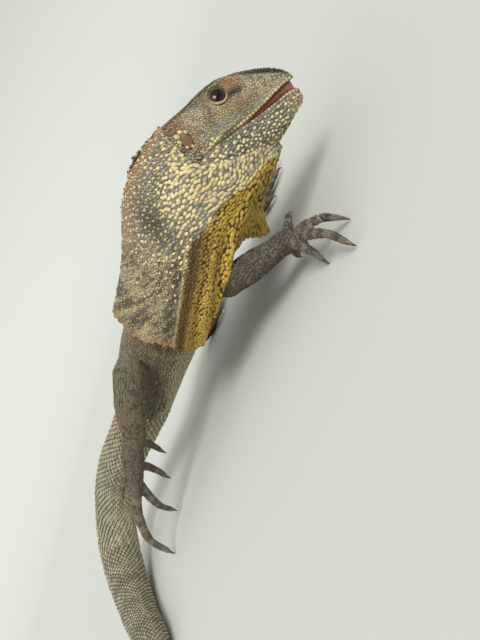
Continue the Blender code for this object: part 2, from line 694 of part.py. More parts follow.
def frill_grid():
    """Places and outward directions all over the frill, from root to margin and from right to left."""
    surface = frill_surface()
    ends = 2 * RIB_PLACES[-1]
    side = RIB_PLACES[SIDE_RIB]
    right = np.linspace(BACK_GAP, side, SIDE_COLUMNS + 1)
    throat = np.linspace(side, ends - side, THROAT_COLUMNS + 1)
    across = np.concatenate((right, throat[1:-1], (ends - right)[::-1]))
    places = np.array([[surface(i / FRILL_ROWS, x) for x in across] for i in range(FRILL_ROWS + 1)])
    for _ in range(FRILL_SMOOTHING):
        level = (places[:, :-2] + places[:, 2:]) / 2
        places[:, 1:-1] += (level - places[:, 1:-1]) / 2
        level = (places[:-2] + places[2:]) / 2
        places[1:-1] += (level - places[1:-1]) / 2
    outward = np.cross(np.gradient(places, axis=0), np.gradient(places, axis=1))
    return places, outward / np.linalg.norm(outward, axis=2, keepdims=True)


def frill_sheet(name, grid, first, last, pleats, height):
    """One panel of the frill as a thin closed sheet with a toothed margin, split alike on both faces."""
    rows, columns = FRILL_ROWS, last - first
    outer = grid[0][:, first : last + 1].copy()
    normals = grid[1][:, first : last + 1]
    for j, beside in ((0, 1), (columns, columns - 1)):
        outer[:, j] += (outer[:, beside] - outer[:, j]) * PANEL_GAP
    for j in range(1, columns, 2):
        outer[rows, j] -= unit(outer[rows, j] - outer[rows - 1, j]) * FRILL_TOOTH
    for i in range(rows + 1):
        for j in range(columns + 1):
            wave = (1 - math.cos(2 * math.pi * pleats * j / columns)) / 2
            outer[i, j] += normals[i, j] * height * wave * (i / rows) ** 1.3
    inner = outer - normals * FRILL_THICKNESS
    bm = bmesh.new()
    top = [[bm.verts.new(p) for p in line] for line in outer]
    low = [[bm.verts.new(p) for p in line] for line in inner]
    for i in range(rows):
        for j in range(columns):
            for sheet in (top, low):
                a, b, c, d = sheet[i][j], sheet[i][j + 1], sheet[i + 1][j + 1], sheet[i + 1][j]
                bm.faces.new((a, b, c))
                bm.faces.new((a, c, d))
    for i in range(rows):
        for j in (0, columns):
            bm.faces.new((top[i][j], top[i + 1][j], low[i + 1][j], low[i][j]))
    for j in range(columns):
        for i in (0, rows):
            bm.faces.new((top[i][j], top[i][j + 1], low[i][j + 1], low[i][j]))
    return make_object(name, bm)


def claw(joint, tip):
    """Curved claw that leaves a digit's tip and bends down to the floor side."""
    outward = unit(tip - joint)
    down = np.array((0.0, 0.0, -1.0))
    side = np.cross(outward, down)
    pole = unit(side) if np.linalg.norm(side) > 0.05 else np.array((0.0, 1.0, 0.0))
    rings = []
    for bend in np.linspace(0, 0.85, 3):
        heading = outward * math.cos(bend) + down * math.sin(bend)
        centre = tip - outward * 0.8 + heading * CLAW * bend
        radius = CLAW_RADIUS * (1.1 - bend)
        rings.append(ring(centre, heading, pole, radius, radius, radius, 4))
    point = tip - outward * 0.8 + unit(outward * 0.35 + down) * CLAW
    return loft("claw", rings, (None, point))


def extremity(name, base, digits, radii, long_digit):
    """Hand or foot: palm, five digits and their claws in one body."""
    palm = tube(name, [b[0] for b in base], [b[1] for b in base], 8, 5)
    pieces = []
    for number, digit in enumerate(digits):
        swell = FOURTH_TOE if number == long_digit else 1.0
        pieces.append(tube("digit", digit, np.array(radii) * swell, 6, 5, domes=(False, True)))
        pieces.append(claw(np.array(digit[2], float), np.array(digit[3], float)))
    return combine(palm, pieces, "UNION")


def make_limb(kind, side, joints, names, torso):
    """Two lengths of an arm or a leg, cut clear of the trunk and of each other."""
    points = [j[0] for j in joints]
    radii = [j[1] for j in joints]
    upper = tube(f"{names[0]}_{side}", points[:3], radii[:3], 12, 6)
    lower = tube(f"{names[1]}_{side}", points[2:], radii[2:], 12, 6)
    combine(upper, [grown(torso), grown(lower)], "DIFFERENCE")
    return upper, lower


def make_crest(neck):
    """Row of small spines along the nape, fused to the neck."""
    rows = list(SPINE.values())
    path, knots = route([r[0] for r in rows], [r[1:] for r in rows])
    pieces = []
    for number in range(CREST_SPINES):
        place = CREST_START + number * CREST_STEP
        here = path(place)
        tangent = unit(path(place + 1)[:3] - path(place - 1)[:3])
        side = unit(np.cross(tangent, (0, 0, 1)))
        top = np.cross(side, tangent)
        foot = here[:3] + top * (here[4] - 1.0)
        height = CREST_HEIGHT * (0.8 + 0.2 * math.cos(number * 1.7))
        base = [foot + tangent * a + side * b for a, b in CREST_BASE]
        tip = foot + top * (height + 1.0) + tangent * CREST_LEAN
        pieces.append(loft("spine", [base], (foot - top, tip)))
    return combine(neck, pieces, "UNION")


def build():
    for obj in list(bpy.data.objects):
        bpy.data.objects.remove(obj)
    model = bpy.data.collections.new("frilled_lizard")
    bpy.context.scene.collection.children.link(model)
    for name, (colour, roughness) in COLOURS.items():
        material = bpy.data.materials.new(name)
        material.use_nodes = True
        shader = material.node_tree.nodes["Principled BSDF"]
        shader.inputs["Base Color"].default_value = (*colour, 1.0)
        shader.inputs["Roughness"].default_value = roughness
        shader.inputs["Metallic"].default_value = 0.0

    jaw = make_jaw()
    head_parts = make_head() + [jaw]
    make_mouth()
    neck = body_length("neck", 0.0, spine_place("shoulders"), 20, 9)
    torso = body_length("torso", spine_place("shoulders"), spine_place("tail_root") - 14, 24, 15)
    make_crest(neck)
    combine(neck, [grown(piece) for piece in head_parts], "DIFFERENCE")
    tail_start = spine_place("tail_root") - 14
    tail_end = spine_place("tail_tip")
    tails = []
    for number in range(TAIL_NODES):
        ends = [tail_start + (tail_end - tail_start) * (number + k) / TAIL_NODES for k in (0, 1)]
        tails.append(body_length(f"tail_{number + 1}", *ends, 16 - 2 * number, 9))
    skin = {neck: "skin_grey", torso: "skin_grey"}
    skin.update({tail: "tail_pale" for tail in tails})

    for side in ("right", "left"):
        upper_arm, forearm = make_limb("arm", side, ARMS[side], ("upper_arm", "forearm"), torso)
        thigh, shank = make_limb("leg", side, LEGS[side], ("thigh", "shank"), torso)
        combine(upper_arm, [grown(neck)], "DIFFERENCE")
        combine(thigh, [grown(tails[0])], "DIFFERENCE")
        hand = extremity(f"hand_{side}", PALMS[side], FINGERS[side], FINGER_RADII, None)
        foot = extremity(f"foot_{side}", SOLES[side], TOES[side], TOE_RADII, 3)
        combine(hand, [grown(forearm)], "DIFFERENCE")
        combine(foot, [grown(shank)], "DIFFERENCE")
        skin.update({part: "limb_dark" for part in (upper_arm, forearm, thigh, shank, hand, foot)})

    grid = frill_grid()
    left_side = SIDE_COLUMNS + THROAT_COLUMNS
    panels = (
        ("frill_right", 0, SIDE_COLUMNS, SIDE_PLEATS, SIDE_PLEAT, "frill_grey"),
        ("frill_throat", SIDE_COLUMNS, left_side, THROAT_PLEATS, THROAT_PLEAT, "frill_gold"),
        ("frill_left", left_side, left_side + SIDE_COLUMNS, SIDE_PLEATS, SIDE_PLEAT, "frill_grey"),
    )
    behind = ("tail", "foot", "shank", "thigh")
    flesh = head_parts + [part for part in skin if not part.name.startswith(behind)]
    for name, first, last, pleats, height, slot in panels:
        panel = frill_sheet(name, grid, first, last, pleats, height)
        skin[combine(panel, [grown(piece) for piece in flesh], "DIFFERENCE")] = slot

    for part, slot in skin.items():
        add_to_model(part, slot)
    for part in model.objects:
        cut_at_floor(part)
    stand_on_origin(model.objects)


def stand_on_origin(parts):
    """Moves every mesh sideways so that the model's box is centred over the origin."""
    corners = np.array([tuple(v.co) for part in parts for v in part.data.vertices])
    middle = (corners.min(axis=0) + corners.max(axis=0)) / 2
    for part in parts:
        for vert in part.data.vertices:
            vert.co.x -= middle[0]
            vert.co.y -= middle[1]


build()
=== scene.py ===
"""Frilled lizard in its scales, on a pale floor.

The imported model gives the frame. One skin is made from its flesh, and scales, claws, lids, eyes and the
mouth's lining go on that skin. The tables below are in millimetres, in the animal's own frame, which the
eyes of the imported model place. Each operator makes one piece or a group of like pieces.
"""

import math

import bmesh
import bpy
import numpy as np
from bpy.props import FloatProperty, FloatVectorProperty, IntProperty, PointerProperty
from mathutils import Matrix, Vector
from mathutils.bvhtree import BVHTree
from mathutils.kdtree import KDTree


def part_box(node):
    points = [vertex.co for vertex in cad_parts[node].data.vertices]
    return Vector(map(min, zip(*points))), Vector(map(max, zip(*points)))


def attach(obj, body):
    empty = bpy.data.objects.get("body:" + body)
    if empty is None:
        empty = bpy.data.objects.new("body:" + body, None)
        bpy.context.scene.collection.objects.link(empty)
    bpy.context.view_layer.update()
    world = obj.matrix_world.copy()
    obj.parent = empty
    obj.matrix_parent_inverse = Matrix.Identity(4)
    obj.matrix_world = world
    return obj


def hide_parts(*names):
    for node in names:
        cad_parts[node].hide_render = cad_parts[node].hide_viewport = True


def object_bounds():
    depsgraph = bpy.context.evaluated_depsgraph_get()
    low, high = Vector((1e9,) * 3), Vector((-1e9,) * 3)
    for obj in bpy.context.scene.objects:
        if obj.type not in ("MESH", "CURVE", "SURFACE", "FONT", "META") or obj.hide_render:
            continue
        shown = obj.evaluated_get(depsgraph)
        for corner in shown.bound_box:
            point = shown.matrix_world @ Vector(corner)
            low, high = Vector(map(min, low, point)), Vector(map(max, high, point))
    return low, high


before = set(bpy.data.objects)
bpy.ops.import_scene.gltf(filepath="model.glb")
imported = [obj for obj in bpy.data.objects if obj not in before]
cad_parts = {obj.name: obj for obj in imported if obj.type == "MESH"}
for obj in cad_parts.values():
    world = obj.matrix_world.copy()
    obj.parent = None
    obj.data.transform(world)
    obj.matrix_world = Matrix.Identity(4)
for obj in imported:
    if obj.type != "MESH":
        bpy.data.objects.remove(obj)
CAD_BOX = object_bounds()

bl_info = {
    "name": "Frilled lizard",
    "version": (1, 0, 0),
    "blender": (4, 5, 0),
    "location": "3D View > Sidebar > Lizard",
    "description": "Builds the scaly skin, eyes and claws of a frilled lizard over its packed frame",
    "category": "Object",
}

MM = 0.001
LOWEST, HIGHEST = (np.array(corner) / MM for corner in CAD_BOX)     # scales and claws end flat against these

# The head's own axes, and on them the places of eyes and ears: along the head, and height
HEAD_AT = np.array((153.0, -22.0, 68.0))
HEAD_FORWARD = np.array((0.725, 0.272, -0.634))
HEAD_UP = np.array((0.56, 0.32, 0.77))
EYE_AT = (22.458, 8.845)
EAR_AT = (1.6, 1.4)
EYEBALL = 5.75                          # radius
EYE_FACING = (0.2, 0.92, 0.33)          # forward, outward and up
EYE_OPENING = (4.3, 3.7)                # half of it, along and up

# Sections of the whole head: along it, half width, height of the crown and depth of the throat
HEAD = (
    (-10.0, 17.0, 12.0, -21.0),
    (0.0, 19.6, 13.9, -23.0),
    (10.0, 19.0, 15.4, -24.2),
    (20.0, 15.6, 16.9, -24.0),
    (26.0, 13.6, 17.2, -23.4),
    (33.0, 11.8, 16.2, -22.0),
    (41.0, 10.2, 13.9, -19.0),
    (47.0, 8.4, 11.4, -16.0),
    (52.0, 6.4, 8.6, -13.6),
    (55.6, 4.2, 5.6, -12.0),
    (58.0, 2.0, 2.6, -9.0),
)
# Lines along the head, as places along it and heights: upper lip, lower lip, and the edge of the dark crown
LIPS = (
    (12.0, -6.3), (20.0, -5.6), (26.0, -5.1), (33.0, -4.1), (41.0, -2.5), (47.0, -1.1), (52.0, -0.2),
    (58.0, 0.1),
)
LOWER_LIPS = (
    (12.0, -7.2), (18.0, -6.5), (24.0, -6.2), (32.0, -5.8), (38.0, -5.5), (45.0, -4.8), (51.0, -4.1),
    (57.0, -5.0),
)
CROWN_EDGE = (
    (-8.0, 10.0), (10.0, 13.2), (20.0, 15.2), (29.0, 16.0), (34.7, 14.1), (38.0, 12.3), (41.7, 10.5),
    (45.7, 8.6), (49.5, 6.3), (52.5, 4.4), (56.0, 2.4),
)

# Middle line of the body, with half width, height up and down
SPINE = (
    ((153.0, -23.0, 64.0), 15.0, 9.0, 14.0),
    ((143.0, -22.0, 71.5), 17.6, 14.0, 19.0),
    ((132.0, -14.5, 74.0), 15.5, 13.5, 17.0),
    ((116.0, -5.0, 66.0), 16.0, 15.0, 17.0),
    ((98.0, -1.0, 53.0), 19.5, 18.0, 19.0),
    ((74.0, 0.0, 48.0), 21.5, 20.0, 21.0),
    ((44.0, 0.0, 46.0), 24.5, 22.5, 23.0),
    ((10.0, -1.0, 44.0), 23.0, 21.0, 21.0),
    ((-19.0, -2.0, 40.0), 19.0, 17.0, 17.0),
    ((-50.0, -1.0, 39.5), 16.2, 15.4, 15.4),
    ((-82.0, 1.0, 40.0), 15.2, 14.8, 14.8),
    ((-110.0, 2.0, 37.0), 14.8, 14.5, 14.5),
    ((-132.0, -6.0, 31.0), 14.5, 14.2, 14.2),
    ((-142.0, -24.0, 23.5), 14.2, 13.9, 14.0),
    ((-138.0, -48.0, 16.5), 13.6, 13.3, 13.5),
    ((-122.0, -74.0, 12.2), 12.4, 12.1, 12.4),
    ((-100.0, -100.0, 10.6), 10.8, 10.6, 10.9),
    ((-76.0, -124.0, 9.4), 9.5, 9.3, 9.7),
    ((-58.0, -152.0, 8.1), 8.2, 8.0, 8.3),
    ((-58.0, -186.0, 6.8), 6.9, 6.7, 7.0),
    ((-82.0, -214.0, 5.4), 5.5, 5.3, 5.6),
    ((-118.0, -228.0, 3.9), 4.0, 3.9, 4.1),
    ((-156.0, -228.0, 2.6), 2.6, 2.5, 2.8),
    ((-188.0, -218.0, 1.6), 1.3, 1.3, 1.7),
)
TAIL_FROM = 8           # station of the spine where the trunk's scattered scales give way to the tail's rows

ARMS = {
    "right": (((101, -12, 52), 9.5), ((103, -27, 43), 8.2), ((102, -41, 30), 7.2), ((121, -48, 23), 7.4),
              ((137, -53, 16), 4.8)),
    "left": (((99, 12, 52), 9.5), ((89, 24, 42), 8.2), ((80, 34, 30), 7.2), ((85, 47, 19), 7.0),
             ((92, 61, 10.5), 4.8)),
}
LEGS = {
    "right": (((-12, -9, 41), 13.0), ((9, -24, 51), 12.0), ((28, -35, 60), 9.0), ((8, -42, 53), 9.0),
              ((-14, -44, 44), 6.6)),
    "left": (((-12, 9, 40), 13.0), ((4, 30, 45), 12.0), ((20, 46, 47), 9.0), ((4, 56, 30), 9.0),
             ((-14, 63, 13), 6.6)),
}
PALMS = {
    "right": (((133.5, -47.8, 17.6), 4.4), ((140.5, -53.5, 15.5), 5.2), ((144.9, -58.2, 13.6), 4.6)),
    "left": (((90, 60, 12.5), 4.6), ((96, 64, 7), 5.2), ((103, 68, 4.2), 4.6)),
}
SOLES = {
    "right": (((-12.5, -44, 46), 6.4), ((-26, -48.4, 41.6), 6.9), ((-37, -52.4, 37.4), 5.8)),
    "left": (((-15, 63.5, 12), 6.2), ((-6, 69, 6.4), 6.8), ((6, 75, 4.8), 6.0)),
}
# Fingers and toes from the thumb out: knuckle, two joints and tip
FINGERS = {
    "right": (
        ((140, -50.5, 15.5), (143.5, -47.9, 15.8), (145.5, -43.8, 16), (145.8, -39.5, 15.8)),
        ((146, -57.3, 14.3), (157.4, -66.5, 13.5), (162.7, -68.8, 9.5), (165, -70.5, 5.4)),
        ((146.4, -61, 13.6), (157.7, -75.4, 12.4), (162.9, -83.4, 9), (164.7, -89, 5)),
        ((142.4, -58.7, 13), (145.8, -66.8, 11), (147.3, -70.5, 8.2), (146.4, -72, 4.6)),
        ((139, -56, 12), (135.5, -51, 9), (132, -46.5, 6.5), (129.5, -42.5, 4.4)),
    ),
    "left": (
        ((98, 63, 6), (103, 60, 4.6), (107, 58, 3.8), (110, 57, 3.2)),
        ((103, 68, 4.8), (111, 68, 4.6), (117, 69, 3.8), (122, 71, 3.2)),
        ((104, 70, 4.6), (112, 74, 5.0), (118, 79, 4.2), (122, 84, 3.2)),
        ((102, 72, 4.6), (107, 79, 5.0), (111, 86, 4.2), (113, 92, 3.2)),
        ((97, 71, 5), (98, 77, 4.6), (99, 82, 3.8), (99, 87, 3.2)),
    ),
}
TOES = {
    "right": (
        ((-18.8, -40.5, 40.2), (-20.8, -37.5, 36.3), (-24.9, -34.6, 30.5), (-28.1, -33.5, 25.9)),
        ((-29.7, -47.1, 36.6), (-33.4, -43.8, 30.4), (-37.3, -41.8, 23.8), (-41.5, -40.2, 18.4)),
        ((-39.2, -52.4, 34), (-47.4, -53.7, 25), (-55.3, -52.2, 16), (-60.9, -48.4, 8.1)),
        ((-39, -56, 35.5), (-55.2, -63.3, 28.5), (-66.6, -69.6, 17.5), (-70.4, -71, 6)),
        ((-30.3, -52.3, 43), (-36.8, -54.6, 43.4), (-40.9, -56.5, 43.3), (-44.9, -57.4, 42)),
    ),
    "left": (
        ((-2, 65, 6), (6, 63, 4.8), (13, 62, 4.0), (18, 62, 3.4)),
        ((5, 72, 5), (17, 72, 5.2), (26, 74, 4.4), (33, 77, 3.4)),
        ((6, 75, 5), (18, 81, 5.4), (28, 88, 4.6), (36, 95, 3.4)),
        ((4, 78, 5), (14, 90, 5.8), (23, 101, 4.8), (29, 112, 3.4)),
        ((-6, 76, 6), (-8, 84, 5.0), (-8, 91, 4.2), (-6, 97, 3.4)),
    ),
}
FINGER_RADII = (2.9, 2.6, 2.2, 1.8)
TOE_RADII = (3.3, 2.9, 2.4, 1.9)

# The frill's ribs on the right, from the back down to the throat: on the head's own axes, then to the margin
FRILL_ROOTS = (
    (-5.5, -9.0, 13.4),
    (-5.0, -18.4, 6.4),
    (-1.0, -20.8, -8.0),
    (12.0, -18.6, -15.5),
    (19.0, -16.2, -17.0),
    (24.0, -14.4, -18.0),
    (29.0, -11.6, -19.0),
    (35.0, -7.4, -22.2),
    (39.5, 0.0, -22.6),
)
FRILL_RIBS = (
    ((154, -31, 85), (140, -27, 90), (114, -14, 91.5), (87, -11, 81), (47, -13, 78)),
    ((156, -38, 77), (134, -37, 75), (107, -35, 70), (77, -33, 66), (46, -30, 61)),
    ((155, -44, 66), (138, -48, 64), (117, -49, 60), (88, -47, 54), (57, -43, 48)),
    ((155, -40, 40), (145, -46, 46), (134, -51, 49), (111, -55, 46), (61, -48, 37)),
    ((159, -37, 37), (146, -42, 40), (134, -48, 43), (117, -54.5, 41), (64, -45, 30)),
    ((159.2, -35.8, 34.8), (147, -40, 38), (137, -45, 39), (124, -50, 36), (94, -50, 30.5)),
    ((160.8, -34, 32.2), (150, -37, 35), (142, -38, 34), (135, -39, 33), (126, -41, 32)),
    ((162.5, -29, 28), (148, -30, 29), (139, -28, 28), (131, -25, 24), (121, -22, 21)),
    ((162.4, -23, 25.8), (149, -25, 26), (139, -20, 25), (129, -12, 18), (119, -5, 10)),
)
RIB_PLACES = (0, 26, 46, 65, 75, 87, 107, 124, 138)
# Where the gold throat begins: place across the frill, and share of the way from its root to its margin
GOLD_FROM = (
    (60.0, 0.30), (65.0, 0.20), (70.0, 0.145), (81.0, 0.125), (107.0, 0.14), (122.0, 0.07), (138.0, 0.05),
)
# Directions from right to left where the body has reached these places
MIDLINE = (((132.0, -14.5, 74.0), (-0.12, 0.99, 0.0)), ((116.0, -5.0, 66.0), (0.0, 1.0, 0.0)),
           ((98.0, -1.0, 53.0), (0.0, 1.0, 0.0)), ((44.0, 0.0, 46.0), (0.0, 1.0, 0.0)))

FLESH = (
    "head", "lower_jaw", "neck", "torso", "tail_1", "tail_2", "tail_3", "tail_4", "tail_5",
    "upper_arm_right", "forearm_right", "upper_arm_left", "forearm_left",
    "thigh_right", "shank_right", "thigh_left", "shank_left", "frill_right", "frill_left", "frill_throat",
)
FEET = ("hand_right", "hand_left", "foot_right", "foot_left")


# Curves and directions

def unit(v):
    """Directions of length one."""
    v = np.asarray(v, float)
    return v / np.maximum(np.linalg.norm(v, axis=-1, keepdims=True), 1e-9)


def curve(knots, values):
    """Smooth curve through values at knots, as a function of an array of numbers along it."""
    knots = np.asarray(knots, float)
    values = np.asarray(values, float)
    if knots[0] > knots[-1]:
        knots, values = knots[::-1], values[::-1]
    slopes = np.gradient(values, knots, axis=0)

    def at(t):
        t = np.clip(np.asarray(t, float), knots[0], knots[-1])
        i = np.clip(np.searchsorted(knots, t, side="right") - 1, 0, len(knots) - 2)
        step = knots[i + 1] - knots[i]
        x = (t - knots[i]) / step
        spread = x.shape + (1,) * (values.ndim - 1)
        x, step = x.reshape(spread), step.reshape(spread)
        start = (1 + 2 * x) * (1 - x) ** 2 * values[i] + x * (1 - x) ** 2 * step * slopes[i]
        end = x * x * (3 - 2 * x) * values[i + 1] + x * x * (x - 1) * step * slopes[i + 1]
        return start + end

    return at


def route(points, *others):
    """Smooth path through points, with other values alongside, and the distances of its points."""
    points = np.asarray(points, float)
    knots = np.concatenate(([0.0], np.cumsum(np.linalg.norm(np.diff(points, axis=0), axis=1))))
    columns = [points] + [np.asarray(o, float).reshape(len(points), -1) for o in others]
    return curve(knots, np.hstack(columns)), knots


def head_axes():
    """Directions forward, to the left and up, for the head."""
    forward = unit(HEAD_FORWARD)
    crown = unit(HEAD_UP - forward * HEAD_UP.dot(forward))
    return np.array((forward, np.cross(crown, forward), crown))


def shift_to_model():
    """From the animal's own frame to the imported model's, found from where the two eyes are."""
    eyes = [(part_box(name)[0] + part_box(name)[1]) / 2 for name in ("eye_left", "eye_right")]
    middle = np.array((eyes[0] + eyes[1]) / 2) / MM
    axes = head_axes()
    return middle - (HEAD_AT + EYE_AT[0] * axes[0] + EYE_AT[1] * axes[2])


SHIFT = shift_to_model()


def from_head(local):
    """Place in the model, in millimetres, of points given along, left of and above the head's axis."""
    return HEAD_AT + SHIFT + np.asarray(local, float) @ head_axes()


def to_head(places):
    """Along, left of and above the head's axis, for places in the model."""
    return (places - HEAD_AT - SHIFT) @ head_axes().T


def smooth(x, start, end):
    """Soft step from 0 at the start to 1 at the end, which may also lie below the start."""
    t = np.clip((x - start) / (end - start), 0, 1)
    return t * t * (3 - 2 * t)


def bump(x, centre, width):
    """1 at the centre, falling softly to 0 on both sides."""
    return np.exp(-(((x - centre) / width) ** 2))


def noise(places, size, seed):
    """Soft random field between 0 and 1, whose blotches are about size across."""
    rng = np.random.default_rng(seed)
    table = rng.random(4096)
    q = np.asarray(places, float) / size + 1000.0
    cell = np.floor(q).astype(np.int64)
    part = q - cell
    part = part * part * (3 - 2 * part)
    total = 0.0
    for corner in np.ndindex(2, 2, 2):
        index = cell + np.array(corner)
        hashed = (index[:, 0] * 73856093) ^ (index[:, 1] * 19349663) ^ (index[:, 2] * 83492791)
        weight = np.prod(np.where(corner, part, 1 - part), axis=1)
        total = total + weight * table[hashed % 4096]
    return total


# What the skin leaves for the other operators: the survey, and what it finds on the skin's faces
STATE = {}


# The animal as a set of lengths, which say what part a place belongs to and which way its scales lie

def section(centre, tangent, pole, half_width, up, down, turns):
    """Places round a section: turn 0 is on the animal's left and a quarter turn is on top."""
    tangent = unit(tangent)
    side = unit(np.cross(pole, tangent))
    top = np.cross(tangent, side)
    angle = 2 * math.pi * np.asarray(turns)
    heights = np.where(np.sin(angle) > 0, up, down) * np.sin(angle)
    return centre + np.outer(half_width * np.cos(angle), side) + np.outer(heights, top)


def lengths():
    """Every tube of the body: its name, its middle line with radii, and which way up it is."""
    made = []
    axes = head_axes()
    rows = []
    for s, w, up, low in HEAD[::-1]:
        rows.append((from_head((s, 0, (up + low) / 2)), w, (up - low) / 2, (up - low) / 2))
    made.append(("head", rows, axes[2]))
    spine = [(np.array(c) + SHIFT, w, up, down) for c, w, up, down in SPINE]
    made.append(("trunk", spine[: TAIL_FROM + 1], (0, 0, 1)))
    made.append(("tail", spine[TAIL_FROM:], (0, 0, 1)))
    for side in ("right", "left"):
        limbs = (("arm", ARMS[side]), ("leg", LEGS[side]), ("hand", PALMS[side]), ("foot", SOLES[side]))
        for name, joints in limbs:
            rows = [(np.array(c, float) + SHIFT, r, r, r) for c, r in joints]
            made.append((f"{name}_{side}", rows, (0, 0, 1)))
        for name, digits, radii in (("finger", FINGERS[side], FINGER_RADII), ("toe", TOES[side], TOE_RADII)):
            for number, digit in enumerate(digits):
                rows = [(np.array(c, float) + SHIFT, r, r, r) for c, r in zip(digit, radii)]
                made.append((f"{name}_{side}_{number}", rows, (0, 0, 1)))
    return made


def midline(x):
    """Point and direction of the plane that parts left from right, where the body has reached x."""
    rows = [(*HEAD_AT, *head_axes()[1])] + [(*place, *side) for place, side in MIDLINE]
    rows = np.array(rows[::-1], float)
    here = curve(rows[:, 0], rows)(x)
    return here[..., :3], unit(here[..., 3:])


def other_side(places):
    """Mirror images of places, by the plane that parts left from right."""
    point, side = midline(places[..., 0])
    return places - 2 * side * np.sum((places - point) * side, axis=-1, keepdims=True)


def frill_places(along, across):
    """Grid of places on the folded frill: along from root to margin, and across from right to left."""
    middle = RIB_PLACES[-1]
    ribs = []
    for root, rib in zip(FRILL_ROOTS, FRILL_RIBS):
        start = HEAD_AT + np.array(root) @ head_axes()
        path, knots = route([start] + list(rib))
        ribs.append(path(np.asarray(along) * knots[-1]))
    ribs = np.array(ribs)
    ribs[-1] = (ribs[-1] + other_side(ribs[-1])) / 2
    right = curve(RIB_PLACES, ribs)(np.minimum(across, 2 * middle - across))
    left = other_side(right)
    places = np.where((across > middle)[:, None, None], left, right)
    return places.transpose(1, 0, 2) + SHIFT


class Survey:
    """Finds the part that a place is on, how far along and round it is, and which way scales lie there."""

    TURNS = 28              # places round a section
    FRILL_GRID = (90, 222)  # places along and across the frill
    SLANT = 0.8             # how far the frill's scales lean towards the back

    def __init__(self):
        self.names = []
        self.known = []         # groups of places, each with their parts, shares, turns and directions
        for name, rows, pole in lengths():
            self.add_length(name, rows, pole)
        flesh = sum(len(group[0]) for group in self.known)
        self.add_frill()
        columns = [np.concatenate(column) for column in zip(*self.known)]
        self.places, self.part, self.share, self.turn, self.flow = columns
        self.flesh_places = self.tree(range(flesh))
        self.frill_places = self.tree(range(flesh, len(self.places)))
        frills = [name for name in FLESH if name.startswith("frill")]
        self.frill_solids = self.solids(frills)
        self.flesh_solids = self.solids([name for name in FLESH + FEET if name not in frills])

    def add_length(self, name, rows, pole):
        """Adds rings of places round one length."""
        turns = (np.arange(self.TURNS) + 0.5) / self.TURNS
        path, knots = route([r[0] for r in rows], [r[1:] for r in rows])
        steps = max(8, int(knots[-1] / 2))
        for k in range(steps):
            at = knots[-1] * (k + 0.5) / steps
            here = path(at)
            tangent = path(min(at + 1, knots[-1]))[:3] - path(max(at - 1, 0))[:3]
            ring = section(here[:3], tangent, pole, *here[3:6], turns)
            self.add(ring, at / knots[-1], turns, unit(tangent))
        self.names.append(name)

    def add_frill(self):
        """Adds a grid of places over the frill."""
        rows, columns = self.FRILL_GRID
        along = (np.arange(rows) + 0.5) / rows
        across = np.linspace(0, 2 * RIB_PLACES[-1], columns)
        grid = frill_places(along, across)
        way = np.where(across > RIB_PLACES[-1], 1, -1)
        towards_back = way[None, :, None] * unit(np.gradient(grid, axis=1))
        flow = unit(unit(np.gradient(grid, axis=0)) + self.SLANT * towards_back).reshape(-1, 3)
        turn = np.tile(across / (2 * RIB_PLACES[-1]), rows)
        self.add(grid.reshape(-1, 3), np.repeat(along, columns), turn, flow)
        self.names.append("frill")

    def add(self, places, share, turn, flow):
        """Adds places of the part that is named next. What is the same for all of them is given once."""
        count = len(places)
        part = np.full(count, len(self.names))
        share, turn = np.broadcast_to(share, count), np.broadcast_to(turn, count)
        self.known.append((places, part, share, turn, np.broadcast_to(flow, (count, 3))))

    def tree(self, numbers):
        """Tree over some of the survey's places."""
        tree = KDTree(len(numbers))
        for k in numbers:
            tree.insert(self.places[k], k)
        tree.balance()
        return tree

    def solids(self, names):
        """One tree over the faces of several of the model's solids."""
        corners, faces, count = [], [], 0
        for name in names:
            co, tris, _ = mesh_arrays(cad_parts[name].data)
            corners.append(co)
            faces.append(tris + count)
            count += len(co)
        return BVHTree.FromPolygons(np.vstack(corners).tolist(), np.vstack(faces).tolist())

    def look(self, places):
        """Part, share of the way along it, turn round it and direction of the scales, for each place."""
        found = np.empty(len(places), int)
        for k, place in enumerate(places):
            place = Vector(place)
            on_frill = self.frill_solids.find_nearest(place)[3] < self.flesh_solids.find_nearest(place)[3]
            found[k] = (self.frill_places if on_frill else self.flesh_places).find(place)[1]
        return self.part[found], self.share[found], self.turn[found], self.flow[found]

    def number(self, start):
        """Which parts have a name that begins so."""
        return [k for k, name in enumerate(self.names) if name.startswith(start)]


# Meshes

UPWARD = np.array((0.0, 0.0, 1.0))
DOME = (0.5, 1.0, 1.35)     # angles at which the rings of a limb's rounded end lie


def mesh_arrays(mesh):
    """Vertices in millimetres, triangles and vertex normals of a mesh of triangles."""
    mesh.calc_loop_triangles()
    co = np.empty(len(mesh.vertices) * 3)
    mesh.vertices.foreach_get("co", co)
    normal = np.empty(len(mesh.vertices) * 3)
    mesh.vertices.foreach_get("normal", normal)
    tris = np.empty(len(mesh.loop_triangles) * 3, np.int32)
    mesh.loop_triangles.foreach_get("vertices", tris)
    return co.reshape(-1, 3) / MM, tris.reshape(-1, 3), normal.reshape(-1, 3)


def add_piece(name, mesh, material):
    """Puts a finished mesh in the scene, riding on the model's only body."""
    obj = bpy.data.objects.new(name, mesh)
    bpy.context.scene.collection.objects.link(obj)
    mesh.materials.append(material)
    mesh.polygons.foreach_set("use_smooth", np.ones(len(mesh.polygons), bool))
    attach(obj, "root")
    return obj


def mesh_from_bmesh(name, bm):
    """Mesh in metres from a closed bmesh in millimetres."""
    bmesh.ops.recalc_face_normals(bm, faces=bm.faces)
    bmesh.ops.scale(bm, vec=(MM, MM, MM), verts=bm.verts)
    mesh = bpy.data.meshes.new(name)
    bm.to_mesh(mesh)
    bm.free()
    return mesh


